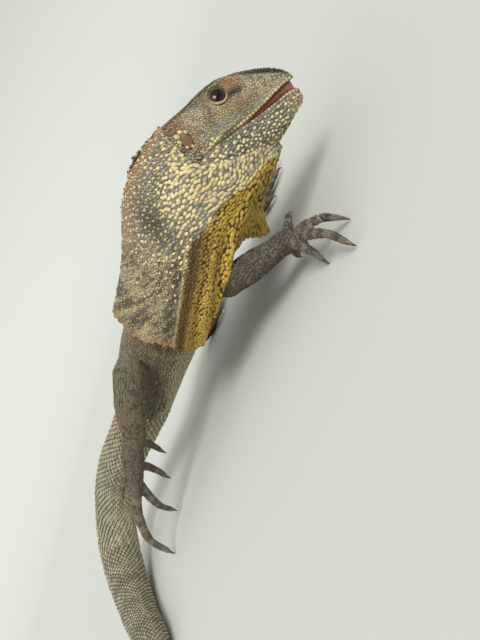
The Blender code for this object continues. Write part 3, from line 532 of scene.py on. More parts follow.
def paint(mesh, name, colours):
    """Stores one colour for each vertex."""
    attribute = mesh.attributes.new(name, "FLOAT_COLOR", "POINT")
    rgba = np.ones((len(colours), 4), np.float32)
    rgba[:, :3] = colours
    attribute.data.foreach_set("color", rgba.ravel())


def extruded(bm, rings):
    """Closed form over rings of places: a capped circle on the first, extruded on to each of the others."""
    verts = bmesh.ops.create_circle(bm, cap_ends=True, segments=len(rings[0]), radius=1.0)["verts"]
    cap = next(iter(verts[0].link_faces))
    order = [loop.vert for loop in cap.loops]
    for vert, place in zip(order, rings[0]):
        vert.co = place
    start, face = cap, None
    for ring in rings[1:]:
        made = bmesh.ops.extrude_face_region(bm, geom=[face or start], use_keep_orig=face is None)["geom"]
        new = [g for g in made if isinstance(g, bmesh.types.BMFace)][-1]
        partners = {}
        for vert in [g for g in made if isinstance(g, bmesh.types.BMVert)]:
            for edge in vert.link_edges:
                if edge.other_vert(vert) in order:
                    partners[edge.other_vert(vert)] = vert
        order = [partners[vert] for vert in order]
        for vert, place in zip(order, ring):
            vert.co = place
        if face is not None and face.is_valid:
            bm.faces.remove(face)
        face = new


def spun(bm, steps, gap):
    """Spins the whole outline once round the vertical axis, and joins its ends."""
    outline = list(bm.verts) + list(bm.edges)
    bmesh.ops.spin(
        bm, geom=outline, cent=(0, 0, 0), axis=(0, 0, 1), angle=2 * math.pi, steps=steps, use_merge=True)
    bmesh.ops.remove_doubles(bm, verts=bm.verts, dist=gap)


def tube(bm, joints, radii, sides, steps):
    """Round limb through joints, closed with a dome at each end."""
    path, knots = route(joints, radii)
    rings = []
    for at in np.linspace(0, knots[-1], steps):
        here = path(at)
        tangent = unit(path(min(at + 0.5, knots[-1]))[:3] - path(max(at - 0.5, 0))[:3])
        rings.append((here[:3], tangent, here[3]))
    turns = np.arange(sides) / sides
    ends = []
    for (centre, tangent, radius), sign in ((rings[0], -1), (rings[-1], 1)):
        out = sign * tangent * radius
        ends.append([(centre + out * math.sin(a), tangent, radius * math.cos(a)) for a in DOME])
    whole = ends[0][::-1] + rings + ends[1]
    extruded(bm, [section(c, t, UPWARD, r, r, r, turns) for c, t, r in whole])


# Looks

SHEEN = 0.35                    # strength of the reflections on skin, scales and eyes
GRAIN_SHADES = (0.78, 1.22)     # how much darker and paler than its paint the grain makes a piece


def linear(colour):
    """Linear colour from the three values that a screen shows, 0 to 255."""
    c = np.asarray(colour, float) / 255
    return np.where(c <= 0.04045, c / 12.92, ((c + 0.055) / 1.055) ** 2.4)


def plain(name, roughness):
    """New material, with its nodes, its links and its shader."""
    material = bpy.data.materials.new(name)
    material.use_nodes = True
    nodes = material.node_tree.nodes
    shader = nodes["Principled BSDF"]
    shader.inputs["Roughness"].default_value = roughness
    return material, nodes, material.node_tree.links, shader


def ramped(nodes, links, value, stops, shader):
    """Colours the shader by a value, from stops with a place and a colour as a screen shows it."""
    ramp = nodes.new("ShaderNodeValToRGB")
    elements = ramp.color_ramp.elements
    elements.remove(elements[0])
    for k, (at, colour) in enumerate(stops):
        element = elements[0] if k == 0 else elements.new(at)
        element.position = at
        element.color = (*linear(colour), 1)
    links.new(value, ramp.inputs["Fac"])
    links.new(ramp.outputs["Color"], shader.inputs["Base Color"])


def tinted(name, roughness, grain_size, grain_height, coat_weight=0.0):
    """Material whose colour is painted on the mesh, broken up by fine grain and given a fine relief."""
    material, nodes, links, shader = plain(name, roughness)
    shader.inputs["Specular IOR Level"].default_value = SHEEN
    shader.inputs["Coat Weight"].default_value = coat_weight
    shader.inputs["Coat Roughness"].default_value = 0.25
    place = nodes.new("ShaderNodeTexCoord")
    tint = nodes.new("ShaderNodeAttribute")
    tint.attribute_name = "tint"
    grain = nodes.new("ShaderNodeTexNoise")
    grain.inputs["Scale"].default_value = 1 / (grain_size * MM)
    grain.inputs["Detail"].default_value = 3.0
    links.new(place.outputs["Object"], grain.inputs["Vector"])
    shade = nodes.new("ShaderNodeMapRange")
    shade.inputs["To Min"].default_value, shade.inputs["To Max"].default_value = GRAIN_SHADES
    links.new(grain.outputs["Fac"], shade.inputs["Value"])
    mixed = nodes.new("ShaderNodeMix")
    mixed.data_type = "RGBA"
    mixed.blend_type = "MULTIPLY"
    mixed.inputs["Factor"].default_value = 1.0
    links.new(tint.outputs["Color"], mixed.inputs["A"])
    links.new(shade.outputs["Result"], mixed.inputs["B"])
    links.new(mixed.outputs["Result"], shader.inputs["Base Color"])
    relief = nodes.new("ShaderNodeBump")
    relief.inputs["Strength"].default_value = 0.6
    relief.inputs["Distance"].default_value = grain_height * MM
    links.new(grain.outputs["Fac"], relief.inputs["Height"])
    links.new(relief.outputs["Normal"], shader.inputs["Normal"])
    return material


def mix(a, b, share):
    """Colours a with a share of b in them."""
    share = np.asarray(share)[:, None]
    return a * (1 - share) + b * share


class Palette:
    """The lizard's colours, as the settings hold them, in linear light."""

    def __init__(self, settings):
        for name in settings.bl_rna.properties.keys():
            if name not in ("rna_type", "name"):
                setattr(self, name, np.array(getattr(settings, name))[:3])
        self.slate = (self.frill_grey + self.blue_grey) / 2


# Markings. Each layer is a colour, its strength and where it shows: the name of a field, or a soft step or
# bump over one. A step runs from its first number to its second, either way. A bump has a centre and a width

CROWN = (
    ("dark", 0.75, (smooth, "fine", 0.4, 0.65)),
)
CHEEK = (
    ("dark", 0.6, (smooth, "fleck", 0.66, 0.8)),
    ("belly", 0.45, (smooth, "fleck", 0.3, 0.15)),
    ("dark", 0.4, (smooth, "wide", 0.5, 0.72)),
    ("blue_grey", 0.6, (bump, "along", 17, 9), (bump, "height", -2, 3.5)),
)
FACE = (
    ("tan", 0.95, (bump, "along", 31.0, 5.5), (bump, "height", 12.2, 2.6)),     # over the eye
    ("dark", 0.95, (bump, "height", 8.4, 1.6), (smooth, "along", 26, 28), (smooth, "along", 37, 33)),
    ("ochre", 0.6, (bump, "along", 24, 8), (bump, "under_eye", 3.4, 2.2)),
    ("rust", 0.5, (bump, "along", 33, 5), (bump, "height", 3.2, 1.8)),          # before the eye
    ("rust", 0.55, (bump, "along", 17.5, 2.5), (bump, "height", 12, 2.6)),      # behind the eye
    ("rust", 0.5, (bump, "along", -1, 7), (bump, "height", 11, 3.5)),           # temple
    ("rust", 0.6, (bump, "from_ear", 0.85, 0.25)),
    ("cream", 0.9, (bump, "along", 42.3, 1.3), (bump, "height", 4.6, 1.3)),     # scale at the nostril
    ("cream", 0.95, (bump, "along", 14, 5.5), (bump, "corner", -5.6, 2.2), (smooth, "fleck", 0.05, 0.2)),
    ("cream", 0.6, (bump, "over_lip", 0.9, 0.9), (smooth, "along", 12, 20)),    # upper lip
)
JAW = (
    ("dark", 0.55, (smooth, "fleck", 0.5, 0.8)),
    ("cream", 0.45, (smooth, "fleck", 0.25, 0.15)),
    ("ochre", 0.45, (smooth, "height", -14, -20), (smooth, "along", 10, 25)),   # throat
    ("chin", 0.8, (smooth, "along", 45, 52)),
)
JAW_SCALES = (
    ("blue_grey", 0.25, (smooth, "fleck", 0.5, 1.0)),
)
FRILL_SIDE = (
    ("blue_grey", 0.75, "front"),
    ("dark", 0.5, (smooth, "fleck", 0.6, 0.85)),
    ("cream", 0.55, "pale_specks"),
    ("dark", 0.85, "blotch", (smooth, "wide", 0.1, 0.35)),
)
FRILL_REAR = (
    ("dark", 0.75, (smooth, "streaks", 0.52, 0.64)),
    ("cream", 0.4, (smooth, "streaks", 0.42, 0.3)),
    ("dark", 0.6, (smooth, "fleck", 0.7, 0.8)),
    ("cream", 0.6, (smooth, "fleck", 0.2, 0.1)),
    ("dark", 0.35, (smooth, "across", 36, 50)),
)
FRILL_MARGIN = (
    ("tan", 0.7, (smooth, "across", 15, 5), (smooth, "share", 0.8, 0.5), (smooth, "fleck", 0.05, 0.4)),
    ("tan", 0.5, (smooth, "share", 0.93, 0.99)),
)
FRILL_SCALES = (
    ("ochre", 0.45, (smooth, "warmth", 0.5, 1.0)),
    ("frill_grey", 1.0, "greyness", (smooth, "fleck", 0.2, 1.0)),
    ("slate", 0.85, (smooth, "slate_fleck", 0.76, 0.8)),
    ("dark", 0.5, "blotch"),
)
FRILL_RIDGE = (
    ("cream", 0.65, (bump, "from_ridge", 53.6, 1.3), (smooth, "share", 0.3, 0.42)),
)
THROAT = (
    ("yellow", 0.6, (smooth, "fleck", 0.3, 1.0)),
    ("net", 0.45, (smooth, "pleats", 0.5, 0.7)),
    # painted shade: the net's dark colour laid over the gold in the valley of the fold beside the frill's
    # ridge, fading towards the next crest
    ("net", 0.62, (smooth, "across", 68, 62), (smooth, "share", 0.3, 0.4)),
    ("net", 0.3, (smooth, "across", 74, 68), (smooth, "share", 0.3, 0.4)),
    ("yellow", 0.5, (bump, "across", 73, 6), (smooth, "share", 0.5, 0.7)),
    ("yellow", 0.65, (smooth, "across", 76, 88), (smooth, "fleck", 0.0, 0.5)),
)
# Parts of the body by the start of their names: base colour, layers, how dark the skin between the scales is,
# and how much of the net's pale colour it takes
BODY = (
    (("trunk",), "body", (
        ("dark", 0.45, (smooth, "fine", 0.45, 0.7)),
        ("cream", 0.3, (smooth, "fleck", 0.85, 0.95)),
        ("belly", 1.0, "below"),
    ), 0.4, 0.0),
    (("tail",), "tail", (
        ("dark", 0.3, (smooth, "fleck", 0.6, 0.9)),
        ("cream", 0.25, (smooth, "fleck", 0.3, 0.1)),
        ("body", 0.5, (smooth, "wide", 0.5, 0.8)),
        ("dark", 0.25, "bands"),
        ("body", 0.8, (smooth, "share", 0.09, 0.01), (smooth, "below", 0.6, 0.1)),
        ("belly", 0.6, "below"),
    ), 0.5, 0.0),
    (("arm", "hand", "finger"), "limb", (
        ("pale", 0.45, (smooth, "fleck", 0.8, 0.9)),
        ("dark", 0.5, (smooth, "wide", 0.5, 0.75)),
        ("pale", 0.5, "rings"),
    ), 0.6, 0.26),
    (("leg", "foot", "toe"), "leg", (
        ("dark", 0.75, (smooth, "spots", 0.52, 0.7)),
        ("pale", 0.5, (smooth, "fleck", 0.78, 0.9)),
        ("limb", 0.35, "foot"),
        ("pale", 0.75, "folds"),
        ("pale", 0.5, "rings"),
    ), 0.6, 0.2),
)


def layered(base, layers, palette, fields):
    """Colours at a row of places. The base under the layers is a colour's name, or colours already laid."""
    colours = base
    if isinstance(base, str):
        colours = np.tile(getattr(palette, base), (len(fields["fleck"]), 1))
    for colour, strength, *limits in layers:
        share = np.full(len(colours), strength)
        for limit in limits:
            if isinstance(limit, str):
                share = share * fields[limit]
            else:
                kind, field, first, second = limit
                share = share * kind(fields[field], first, second)
        colours = mix(colours, getattr(palette, colour), share)
    return colours


def along_line(table, s):
    """Second column of a table of numbers, at places along its first column."""
    return np.interp(s, [r[0] for r in table], [r[1] for r in table])


def head_markings(places, palette, fleck, big):
    """Colours of head and lower jaw. Big says which scales are the large pale ones."""
    s, _, z = to_head(places).T
    over_lip = z - along_line(LIPS, s)
    fields = {
        "fleck": fleck, "along": s, "height": z, "over_lip": over_lip,
        "wide": noise(places, 7.0, 11),
        "fine": noise(places, 1.6, 12),
        "under_eye": z - 0.05 * (s - 24),
        "corner": z - 0.1 * (s - 14),
        "from_ear": np.hypot((s - EAR_AT[0]) / 4.6, (z - EAR_AT[1]) / 6.6),
    }
    crown = layered("crown", CROWN, palette, fields)
    cheek = layered("cheek", CHEEK, palette, fields)
    head = mix(cheek, crown, smooth(z - along_line(CROWN_EDGE, s), -1.0, 0.8))
    head = layered(head, FACE, palette, fields)
    jaw = layered("blue_grey", JAW, palette, fields)
    head = mix(head, jaw, smooth(over_lip, -0.3, -1.4) * smooth(s, 4, 13))
    head = np.where(big, layered("cream", JAW_SCALES, palette, fields), head)
    side = frill_side(places, np.full(len(s), 50.0), np.zeros(len(s)), palette, fleck, big)
    return mix(head, side, 0.85 * smooth(s, 7, -1) * smooth(z, 8, 2))


def frill_side(places, across, share, palette, fleck, big):
    """Grey side of the frill, with cream scales at its root and streaks towards its margin."""
    wide = noise(places, 9.0, 13)
    front = smooth(across, 30, 55) * smooth(share, 0.42, 0.28)
    under_jaw = smooth(share, 0.16, 0.04) * smooth(across, 50, 75)
    fields = {
        "fleck": fleck, "wide": wide, "front": front, "across": across, "share": share,
        "streaks": noise(np.column_stack((across + 95 * share, share * 16, 0 * share)), 1.5, 14),
        "pale_specks": smooth(1 - fleck, 0.74 - 0.3 * front, 0.86 - 0.2 * front),
        "blotch": bump(across, 27, 14) * bump(share, 0.36, 0.075),
        "warmth": wide + 0.3 * fleck,
        "greyness": 0.7 - 0.5 * front,
        "slate_fleck": fleck + 0.35 * under_jaw,
        "from_ridge": across - 4 * (share - 0.5),
    }
    side = layered("frill_grey", FRILL_SIDE, palette, fields)
    rear = layered("taupe", FRILL_REAR, palette, fields)
    side = mix(side, rear, smooth(share + 0.004 * across - 0.6, -0.12, 0.14))
    side = layered(side, FRILL_MARGIN, palette, fields)
    side = np.where(big, layered("cream", FRILL_SCALES, palette, fields), side)
    return layered(side, FRILL_RIDGE, palette, fields)


def frill_markings(places, across, share, palette, fleck, big):
    """Colours of the whole frill, and how far each place belongs to the gold throat."""
    fields = {
        "fleck": fleck, "across": across, "share": share,
        "pleats": noise(np.column_stack((across, share * 10, 0 * share)), 2.2, 16),
    }
    side = frill_side(places, across, share, palette, fleck, big)
    gold = layered("gold", THROAT, palette, fields)
    ragged = share + 0.05 * (noise(places, 6.0, 15) - 0.5)
    begin = along_line(GOLD_FROM, across)
    edge = np.interp(share, (0.33, 0.40), (64.5, 55.0))
    golden = smooth(across, edge - 1.2, edge + 1.2) * smooth(ragged, begin - 0.025, begin + 0.025)
    return mix(side, gold, golden), golden


def markings(places, found, palette, fleck, big=False):
    """Colours of the scale at each place and of the skin between. Fleck is a random number for each scale."""
    part, share, turn, _ = found
    survey = STATE["survey"]

    def of(*starts):
        return np.isin(part, [k for start in starts for k in survey.number(start)])

    big = np.broadcast_to(np.reshape(big, (-1, 1)), (len(places), 1))
    scales = head_markings(places, palette, fleck, big)
    skin = scales * 0.45
    frill, golden = frill_markings(places, across_frill(turn), share, palette, fleck, big)
    scales[of("frill")] = frill[of("frill")]
    skin[of("frill")] = mix(frill * 0.5, palette.net * 0.8, golden)[of("frill")]
    fields = {
        "fleck": fleck, "share": share,
        "wide": noise(places, 9.0, 17),
        "fine": noise(places, 2.2, 18),
        "spots": noise(places, 2.0, 19),
        "below": smooth(-np.sin(2 * math.pi * turn), 0.2, 0.8),
        "bands": bump(np.mod(share * 14, 1.0), 0.5, 0.18) * smooth(share, 0.2, 0.4),
        "folds": (0.5 + 0.5 * np.sin(share * 190)) * bump(share, 0.5, 0.055) * of("leg"),
        "rings": (np.mod(share * 5, 1.0) > 0.6) * of("finger", "toe"),
        "foot": of("foot", "toe"),
    }
    for starts, base, layers, darkness, net in BODY:
        chosen = of(*starts)
        colours = layered(base, layers, palette, fields)
        scales[chosen] = colours[chosen]
        skin[chosen] = mix(colours * darkness, palette.pale, np.full(len(colours), net))[chosen]
    return np.clip(scales, 0.0, 1.0), np.clip(skin, 0.0, 1.0)


def across_frill(turn):
    """Place across the frill, from the back down to the throat on either side, for a turn of the survey."""
    return np.minimum(turn, 1 - turn) * 2 * RIB_PLACES[-1]


def settings():
    """Sizes, colours and stage, as the panel shows them."""
    return bpy.context.scene.lizard_sizes, bpy.context.scene.lizard_colours, bpy.context.scene.lizard_stage


# Scales

KEELED = (  # along, across, up: outline from the root round to the tip, then the keel
    (-0.46, 0.0, 0.0), (-0.18, 0.44, 0.0), (0.26, 0.36, 0.12), (0.60, 0.0, 0.42), (0.26, -0.36, 0.12),
    (-0.18, -0.44, 0.0), (-0.20, 0.0, 0.62), (0.40, 0.0, 1.0),
)
GRANULE = (
    (-0.50, 0.0, 0.0), (-0.24, 0.46, 0.0), (0.26, 0.44, 0.0), (0.52, 0.0, 0.0), (0.26, -0.44, 0.0),
    (-0.24, -0.46, 0.0), (-0.22, 0.0, 0.86), (0.24, 0.0, 1.0),
)
SIX_SIDED = (
    (0, 1, 6), (1, 2, 7), (1, 7, 6), (2, 3, 7), (3, 4, 7), (4, 5, 7), (5, 6, 7), (5, 0, 6),
    (0, 5, 1), (1, 5, 4), (1, 4, 2), (2, 4, 3),
)


def dome(sides, inner, rise, unevenness=0.045):
    """Large scale as places along, across and up, and faces: its outline, a raised ring inside and a top."""
    turns = 2 * math.pi * np.arange(sides) / sides
    reach = 0.5 + unevenness * np.cos(3 * turns + 0.7)
    outline = np.column_stack((reach * np.cos(turns), reach * np.sin(turns), 0 * turns))
    places = np.vstack((outline, outline * inner + (0.03, 0.0, rise), [(0.06, 0.0, 1.0)]))
    faces = [(0, k + 1, k) for k in range(1, sides - 1)]
    for k in range(sides):
        j = (k + 1) % sides
        faces += [(k, j, sides + j), (k, sides + j, sides + k), (sides + k, sides + j, 2 * sides)]
    return places, faces


KEELED_SCALE = (np.array(KEELED), SIX_SIDED)
SMALL_SCALE = (np.array(GRANULE), SIX_SIDED)
LARGE_SCALE = dome(sides=7, inner=0.8, rise=0.85)
SUNK = 0.08                 # how deep a scale's foot lies in the skin
FOOT_PAINTED_SHADE = 0.58           # painted shade: how much darker than its paint a scale is at its foot
TOP_PAINTED_LIGHT = 1.08            # painted light: how much paler than its paint a scale is at its top
PATCH = 0.003               # size of a scale's patch on the unwrap


def atlas(found):
    """Place of each root on an unwrap of the skin, one square of a five by eight sheet for each part."""
    part, share, turn, _ = found
    columns, rows, border = 5, 8, 0.03
    u = (part % columns + border + (1 - 2 * border) * share) / columns
    v = (part // columns + border + (1 - 2 * border) * turn) / rows
    return np.column_stack((u, v))


def scale_mesh(name, roots, normals, flows, sizes, colours, uv, shape):
    """One joined mesh of closed scales. Sizes holds the length, width and height of each."""
    template, faces = shape[0], np.array(shape[1])
    normals = unit(normals)
    along = unit(flows - normals * np.sum(flows * normals, axis=1, keepdims=True))
    side = np.cross(normals, along)
    axes = np.stack((along, side, normals), axis=1)
    local = template[None] * sizes[:, None, :]
    local[:, :, 2] -= SUNK
    places = np.clip(roots[:, None, :] + np.einsum("nvk,nkj->nvj", local, axes), LOWEST, HIGHEST)
    count, per = len(roots), len(template)
    tris = (faces[None] + (np.arange(count) * per)[:, None, None]).reshape(-1, 3)
    mesh = bpy.data.meshes.new(name)
    mesh.vertices.add(count * per)
    mesh.vertices.foreach_set("co", (places.reshape(-1, 3) * MM).ravel().astype(np.float32))
    mesh.loops.add(len(tris) * 3)
    mesh.loops.foreach_set("vertex_index", tris.ravel().astype(np.int32))
    mesh.polygons.add(len(tris))
    mesh.polygons.foreach_set("loop_start", np.arange(0, len(tris) * 3, 3, dtype=np.int32))
    mesh.polygons.foreach_set("loop_total", np.full(len(tris), 3, np.int32))
    mesh.update(calc_edges=True)
    # painted shade and painted light: each scale's colour darker towards its foot and paler towards its top
    shade = (FOOT_PAINTED_SHADE + (TOP_PAINTED_LIGHT - FOOT_PAINTED_SHADE) * template[:, 2])[None, :, None]
    paint(mesh, "tint", np.clip(colours[:, None, :] * shade, 0, 1).reshape(-1, 3))
    patch = (template[:, :2] * PATCH)[None] + uv[:, None, :]
    layer = mesh.uv_layers.new(name="OFBake")
    layer.data.foreach_set("uv", patch.reshape(-1, 2)[tris.ravel()].ravel().astype(np.float32))
    return mesh


LEAST = 0.2                 # no spacing is taken as less
DRAWS = 7.0                 # places tried for each square of the spacing
NEAREST = 0.86              # of the spacing, between two kept places
MARGIN = 0.42               # of the spacing, round places that are taken
STEP = 0.2                  # between two classes of spacing, in powers of e


def drawn(mesh, spacing, rng):
    """Random places on a mesh, with their directions out of it and their spacings, in random order."""
    co, tris, normal = mesh
    corners = co[tris]
    cross = np.cross(corners[:, 1] - corners[:, 0], corners[:, 2] - corners[:, 0])
    area = np.linalg.norm(cross, axis=1) / 2
    wanted = np.where(spacing > 0, area / np.maximum(spacing, LEAST) ** 2 * DRAWS, 0)
    whole = np.floor(wanted + rng.random(len(wanted))).astype(int)
    pick = np.repeat(np.arange(len(tris)), whole)
    rng.shuffle(pick)
    a, b = rng.random(len(pick)), rng.random(len(pick))
    flip = a + b > 1
    a[flip], b[flip] = 1 - a[flip], 1 - b[flip]
    c = corners[pick]
    places = c[:, 0] + a[:, None] * (c[:, 1] - c[:, 0]) + b[:, None] * (c[:, 2] - c[:, 0])
    v = normal[tris[pick]]
    normals = v[:, 0] * (1 - a - b)[:, None] + v[:, 1] * a[:, None] + v[:, 2] * b[:, None]
    return places, unit(normals), spacing[pick]


def clear_of(taken, places, normals, spacing):
    """Which places lie clear of the taken ones. Taken holds their places, normals and radii."""
    tree = KDTree(len(taken[0]))
    for k, place in enumerate(taken[0] + taken[1]):
        tree.insert(place, k)
    tree.balance()
    free = np.ones(len(places), bool)
    for k, place in enumerate(places + normals):
        _, nearest, distance = tree.find(place)
        free[k] = distance > taken[2][nearest] + MARGIN * spacing[k]
    return free


def apart(places, cell):
    """Numbers of the places that are kept when none may be nearer than the limit to one kept before it."""
    kept, grid = [], {}
    limit = (NEAREST * cell) ** 2
    near = [(i, j, k) for i in (-1, 0, 1) for j in (-1, 0, 1) for k in (-1, 0, 1)]
    for index, (i, j, k) in enumerate(np.floor(places / cell).astype(int).tolist()):
        x, y, z = places[index]
        around = (other for di, dj, dk in near for other in grid.get((i + di, j + dj, k + dk), ()))
        if all((px - x) ** 2 + (py - y) ** 2 + (pz - z) ** 2 >= limit for px, py, pz in around):
            grid.setdefault((i, j, k), []).append((x, y, z))
            kept.append(index)
    return np.array(kept, int)


def scattered(mesh, spacing, rng, taken=None):
    """Places on a mesh, as far apart as the spacing of the face below, and clear of the taken ones."""
    places, normals, spacing = drawn(mesh, spacing, rng)
    raised = places + normals * spacing[:, None] * 0.5      # so that the two faces of a thin fold stay apart
    free = np.ones(len(places), bool) if taken is None else clear_of(taken, places, normals, spacing)
    classes = np.round(np.log(np.maximum(spacing, LEAST)) / STEP).astype(int)
    kept = []
    for kind in np.unique(classes):
        chosen = np.flatnonzero((classes == kind) & free)
        kept.append(chosen[apart(raised[chosen], float(np.exp(kind * STEP)))])
    kept = np.concatenate(kept)
    return places[kept], normals[kept], spacing[kept]


REACH = 1.35                # how far beyond its section the skin may lie
OVERLAP = 0.82              # of a scale's size, from one row to the next


def in_rows(tree, rows, pole, size_at):
    """Roots in staggered rings round one length, on the skin's own surface."""
    path, knots = route([r[0] for r in rows], [r[1:] for r in rows])
    roots, normals, flows, sizes = [], [], [], []
    at, odd = 0.0, False
    while at < knots[-1]:
        here = path(at)
        tangent = unit(path(min(at + 1, knots[-1]))[:3] - path(max(at - 1, 0))[:3])
        size = size_at(here[3])
        count = max(6, int(round(2 * math.pi * here[3] / size)))
        turns = (np.arange(count) + (0.5 if odd else 0.0)) / count
        ring = section(here[:3], tangent, pole, *here[3:6], turns)
        for place in ring:
            outward = Vector(place - here[:3]).normalized()
            hit, normal, _, distance = tree.ray_cast(Vector(here[:3]), outward)
            if hit is not None and distance < np.linalg.norm(place - here[:3]) * REACH:
                roots.append(hit)
                normals.append(normal)
                flows.append(tangent)
                sizes.append(size)
        at += size * OVERLAP
        odd = not odd
    return np.array(roots), np.array(normals), np.array(flows), np.array(sizes)


SWAY = 0.5                  # how much a scale's direction varies
SPREAD, LARGE_SPREAD = 0.2, 0.5         # how much the size of small and of large scales varies


def coat(name, roots, normals, flows, dimensions, material, shape, seed, big=False):
    """Adds a coat piece, painted with the markings at each root. Dimensions are length, width and height."""
    found = STATE["survey"].look(roots)
    rng = np.random.default_rng(seed)
    fleck = rng.random(len(roots))
    colours = markings(roots, found, Palette(settings()[1]), fleck, big)[0]
    flows = found[3] if flows is None else flows
    flows = unit(flows) + SWAY * (rng.random((len(roots), 3)) - 0.5)
    spread = LARGE_SPREAD if big else SPREAD
    sizes = np.column_stack(dimensions) * (1 + spread * (rng.random((len(roots), 3)) - 0.5))
    mesh = scale_mesh(name, roots, normals, flows, sizes, colours, atlas(found), shape)
    add_piece(name, mesh, material)


def skin_mesh():
    """Vertices, triangles and normals of the finished skin."""
    return mesh_arrays(bpy.data.objects["skin"].data)


def skin_tree(arrays):
    """Tree over the skin's faces."""
    return BVHTree.FromPolygons(arrays[0].tolist(), arrays[1].tolist())


def skin_faces(mesh):
    """What the survey finds at the middle of each face of the skin, looked up once."""
    if "faces" not in STATE:
        STATE["faces"] = STATE["survey"].look(mesh[0][mesh[1]].mean(axis=1))
    return STATE["faces"]


def on_head(tree, s, z, side):
    """Place and direction out of the skin beside the head's middle plane, at places along it and heights."""
    roots, normals = [], []
    out = head_axes()[1] * side
    for place in from_head(np.column_stack((s, 0 * s, z))):
        hit, normal, _, _ = tree.ray_cast(Vector(place + 30 * out), Vector(-out))
        if hit is None:
            hit, normal, _, _ = tree.find_nearest(Vector(place + 8 * out))
        roots.append(hit)
        normals.append(normal)
    return np.array(roots), np.array(normals)


def size_of(name, description, millimetres):
    """Setting that holds a length."""
    metres = millimetres * MM
    return FloatProperty(name=name, description=description, default=metres, unit="LENGTH", precision=5)


def angle_of(name, description, degrees):
    """Setting that holds an angle."""
    return FloatProperty(name=name, description=description, default=math.radians(degrees), subtype="ANGLE")


def strength_of(name, description, value):
    """Setting that holds the strength of a light."""
    return FloatProperty(name=name, description=description, default=value, min=0)


def shade_of(name, description, colour):
    """Setting that holds a colour, given as a screen shows it."""
    shade = tuple(float(c) for c in linear(colour))
    return FloatVectorProperty(
        name=name, description=description, default=shade, subtype="COLOR", size=3, min=0, max=1)


class LizardSizes(bpy.types.PropertyGroup):
    """Sizes of the coat."""

    coat_depth: size_of("Coat depth", "How far the skin lies inside the solids", 0.45)
    voxel: size_of("Skin detail", "Size of the smallest form that the skin keeps", 0.7)
    head_scale: size_of("Head scale", "Distance between the head's scales", 1.05)
    frill_scale: size_of("Frill scale", "Distance between the frill's scales", 1.45)
    body_scale: size_of("Body scale", "Distance between the trunk's scales", 1.6)
    tail_scale: size_of("Tail scale", "Distance between the tail's rows", 3.2)
    limb_scale: size_of("Limb scale", "Distance between the scales of arms and legs", 1.25)
    digit_scale: size_of("Digit scale", "Distance between the scales of fingers and toes", 1.15)
    seed: IntProperty(name="Seed", description="Start of the random draws", default=7, min=0)


class LizardColours(bpy.types.PropertyGroup):
    """Colours of skin and scales."""

    crown: shade_of("Crown", "Top of the head", (94, 85, 63))
    cheek: shade_of("Cheek", "Side of the head", (190, 179, 148))
    cream: shade_of("Cream", "Pale scales of jaw and frill", (218, 202, 148))
    tan: shade_of("Tan", "Patch over the eye and the frill's back edge", (190, 142, 100))
    ochre: shade_of("Ochre", "Band under the eye", (200, 168, 104))
    rust: shade_of("Rust", "Temple and ear", (166, 116, 72))
    dark: shade_of("Dark", "Specks, streaks and blotches", (64, 58, 46))
    blue_grey: shade_of("Blue grey", "Lower jaw and front of the frill", (156, 157, 142))
    chin: shade_of("Chin", "Tip of the lower jaw", (198, 176, 150))
    mouth: shade_of("Mouth", "Lining of the mouth", (138, 88, 74))
    frill_grey: shade_of("Frill grey", "Side of the frill", (156, 150, 128))
    taupe: shade_of("Taupe", "Rear of the frill", (164, 152, 120))
    gold: shade_of("Gold", "Throat of the frill", (166, 132, 52))
    yellow: shade_of("Yellow", "Bright scales of the throat", (204, 172, 74))
    net: shade_of("Net", "Dark net of the throat", (78, 56, 22))
    body: shade_of("Body", "Back and flanks", (148, 134, 106))
    belly: shade_of("Belly", "Underside", (204, 196, 162))
    tail: shade_of("Tail", "Tail", (164, 156, 134))
    limb: shade_of("Arm", "Arms and fingers", (76, 67, 55))
    pale: shade_of("Pale", "Net and bands of the limbs", (154, 146, 126))
    leg: shade_of("Leg", "Legs and toes", (122, 107, 86))


class LizardStage(bpy.types.PropertyGroup):
    """Floor, light and camera."""

    azimuth: angle_of("Azimuth", "Camera's turn round the model", 34)
    elevation: angle_of("Elevation", "Camera's height above the horizon", 13)
    roll: angle_of("Roll", "Camera's turn about its own line of sight", 74)
    distance: size_of("Distance", "From the camera to what it looks at", 344)
    lens: FloatProperty(name="Lens", description="Focal length", default=36.675, unit="CAMERA")
    floor: shade_of("Floor", "Colour of floor and backdrop", (188, 191, 185))
    sky: strength_of("Sky", "Strength of the light from all round", 0.92)
    key: strength_of("Key light", "Strength of the main light", 2.3)
    softness: angle_of("Softness", "How wide the main light is", 24)


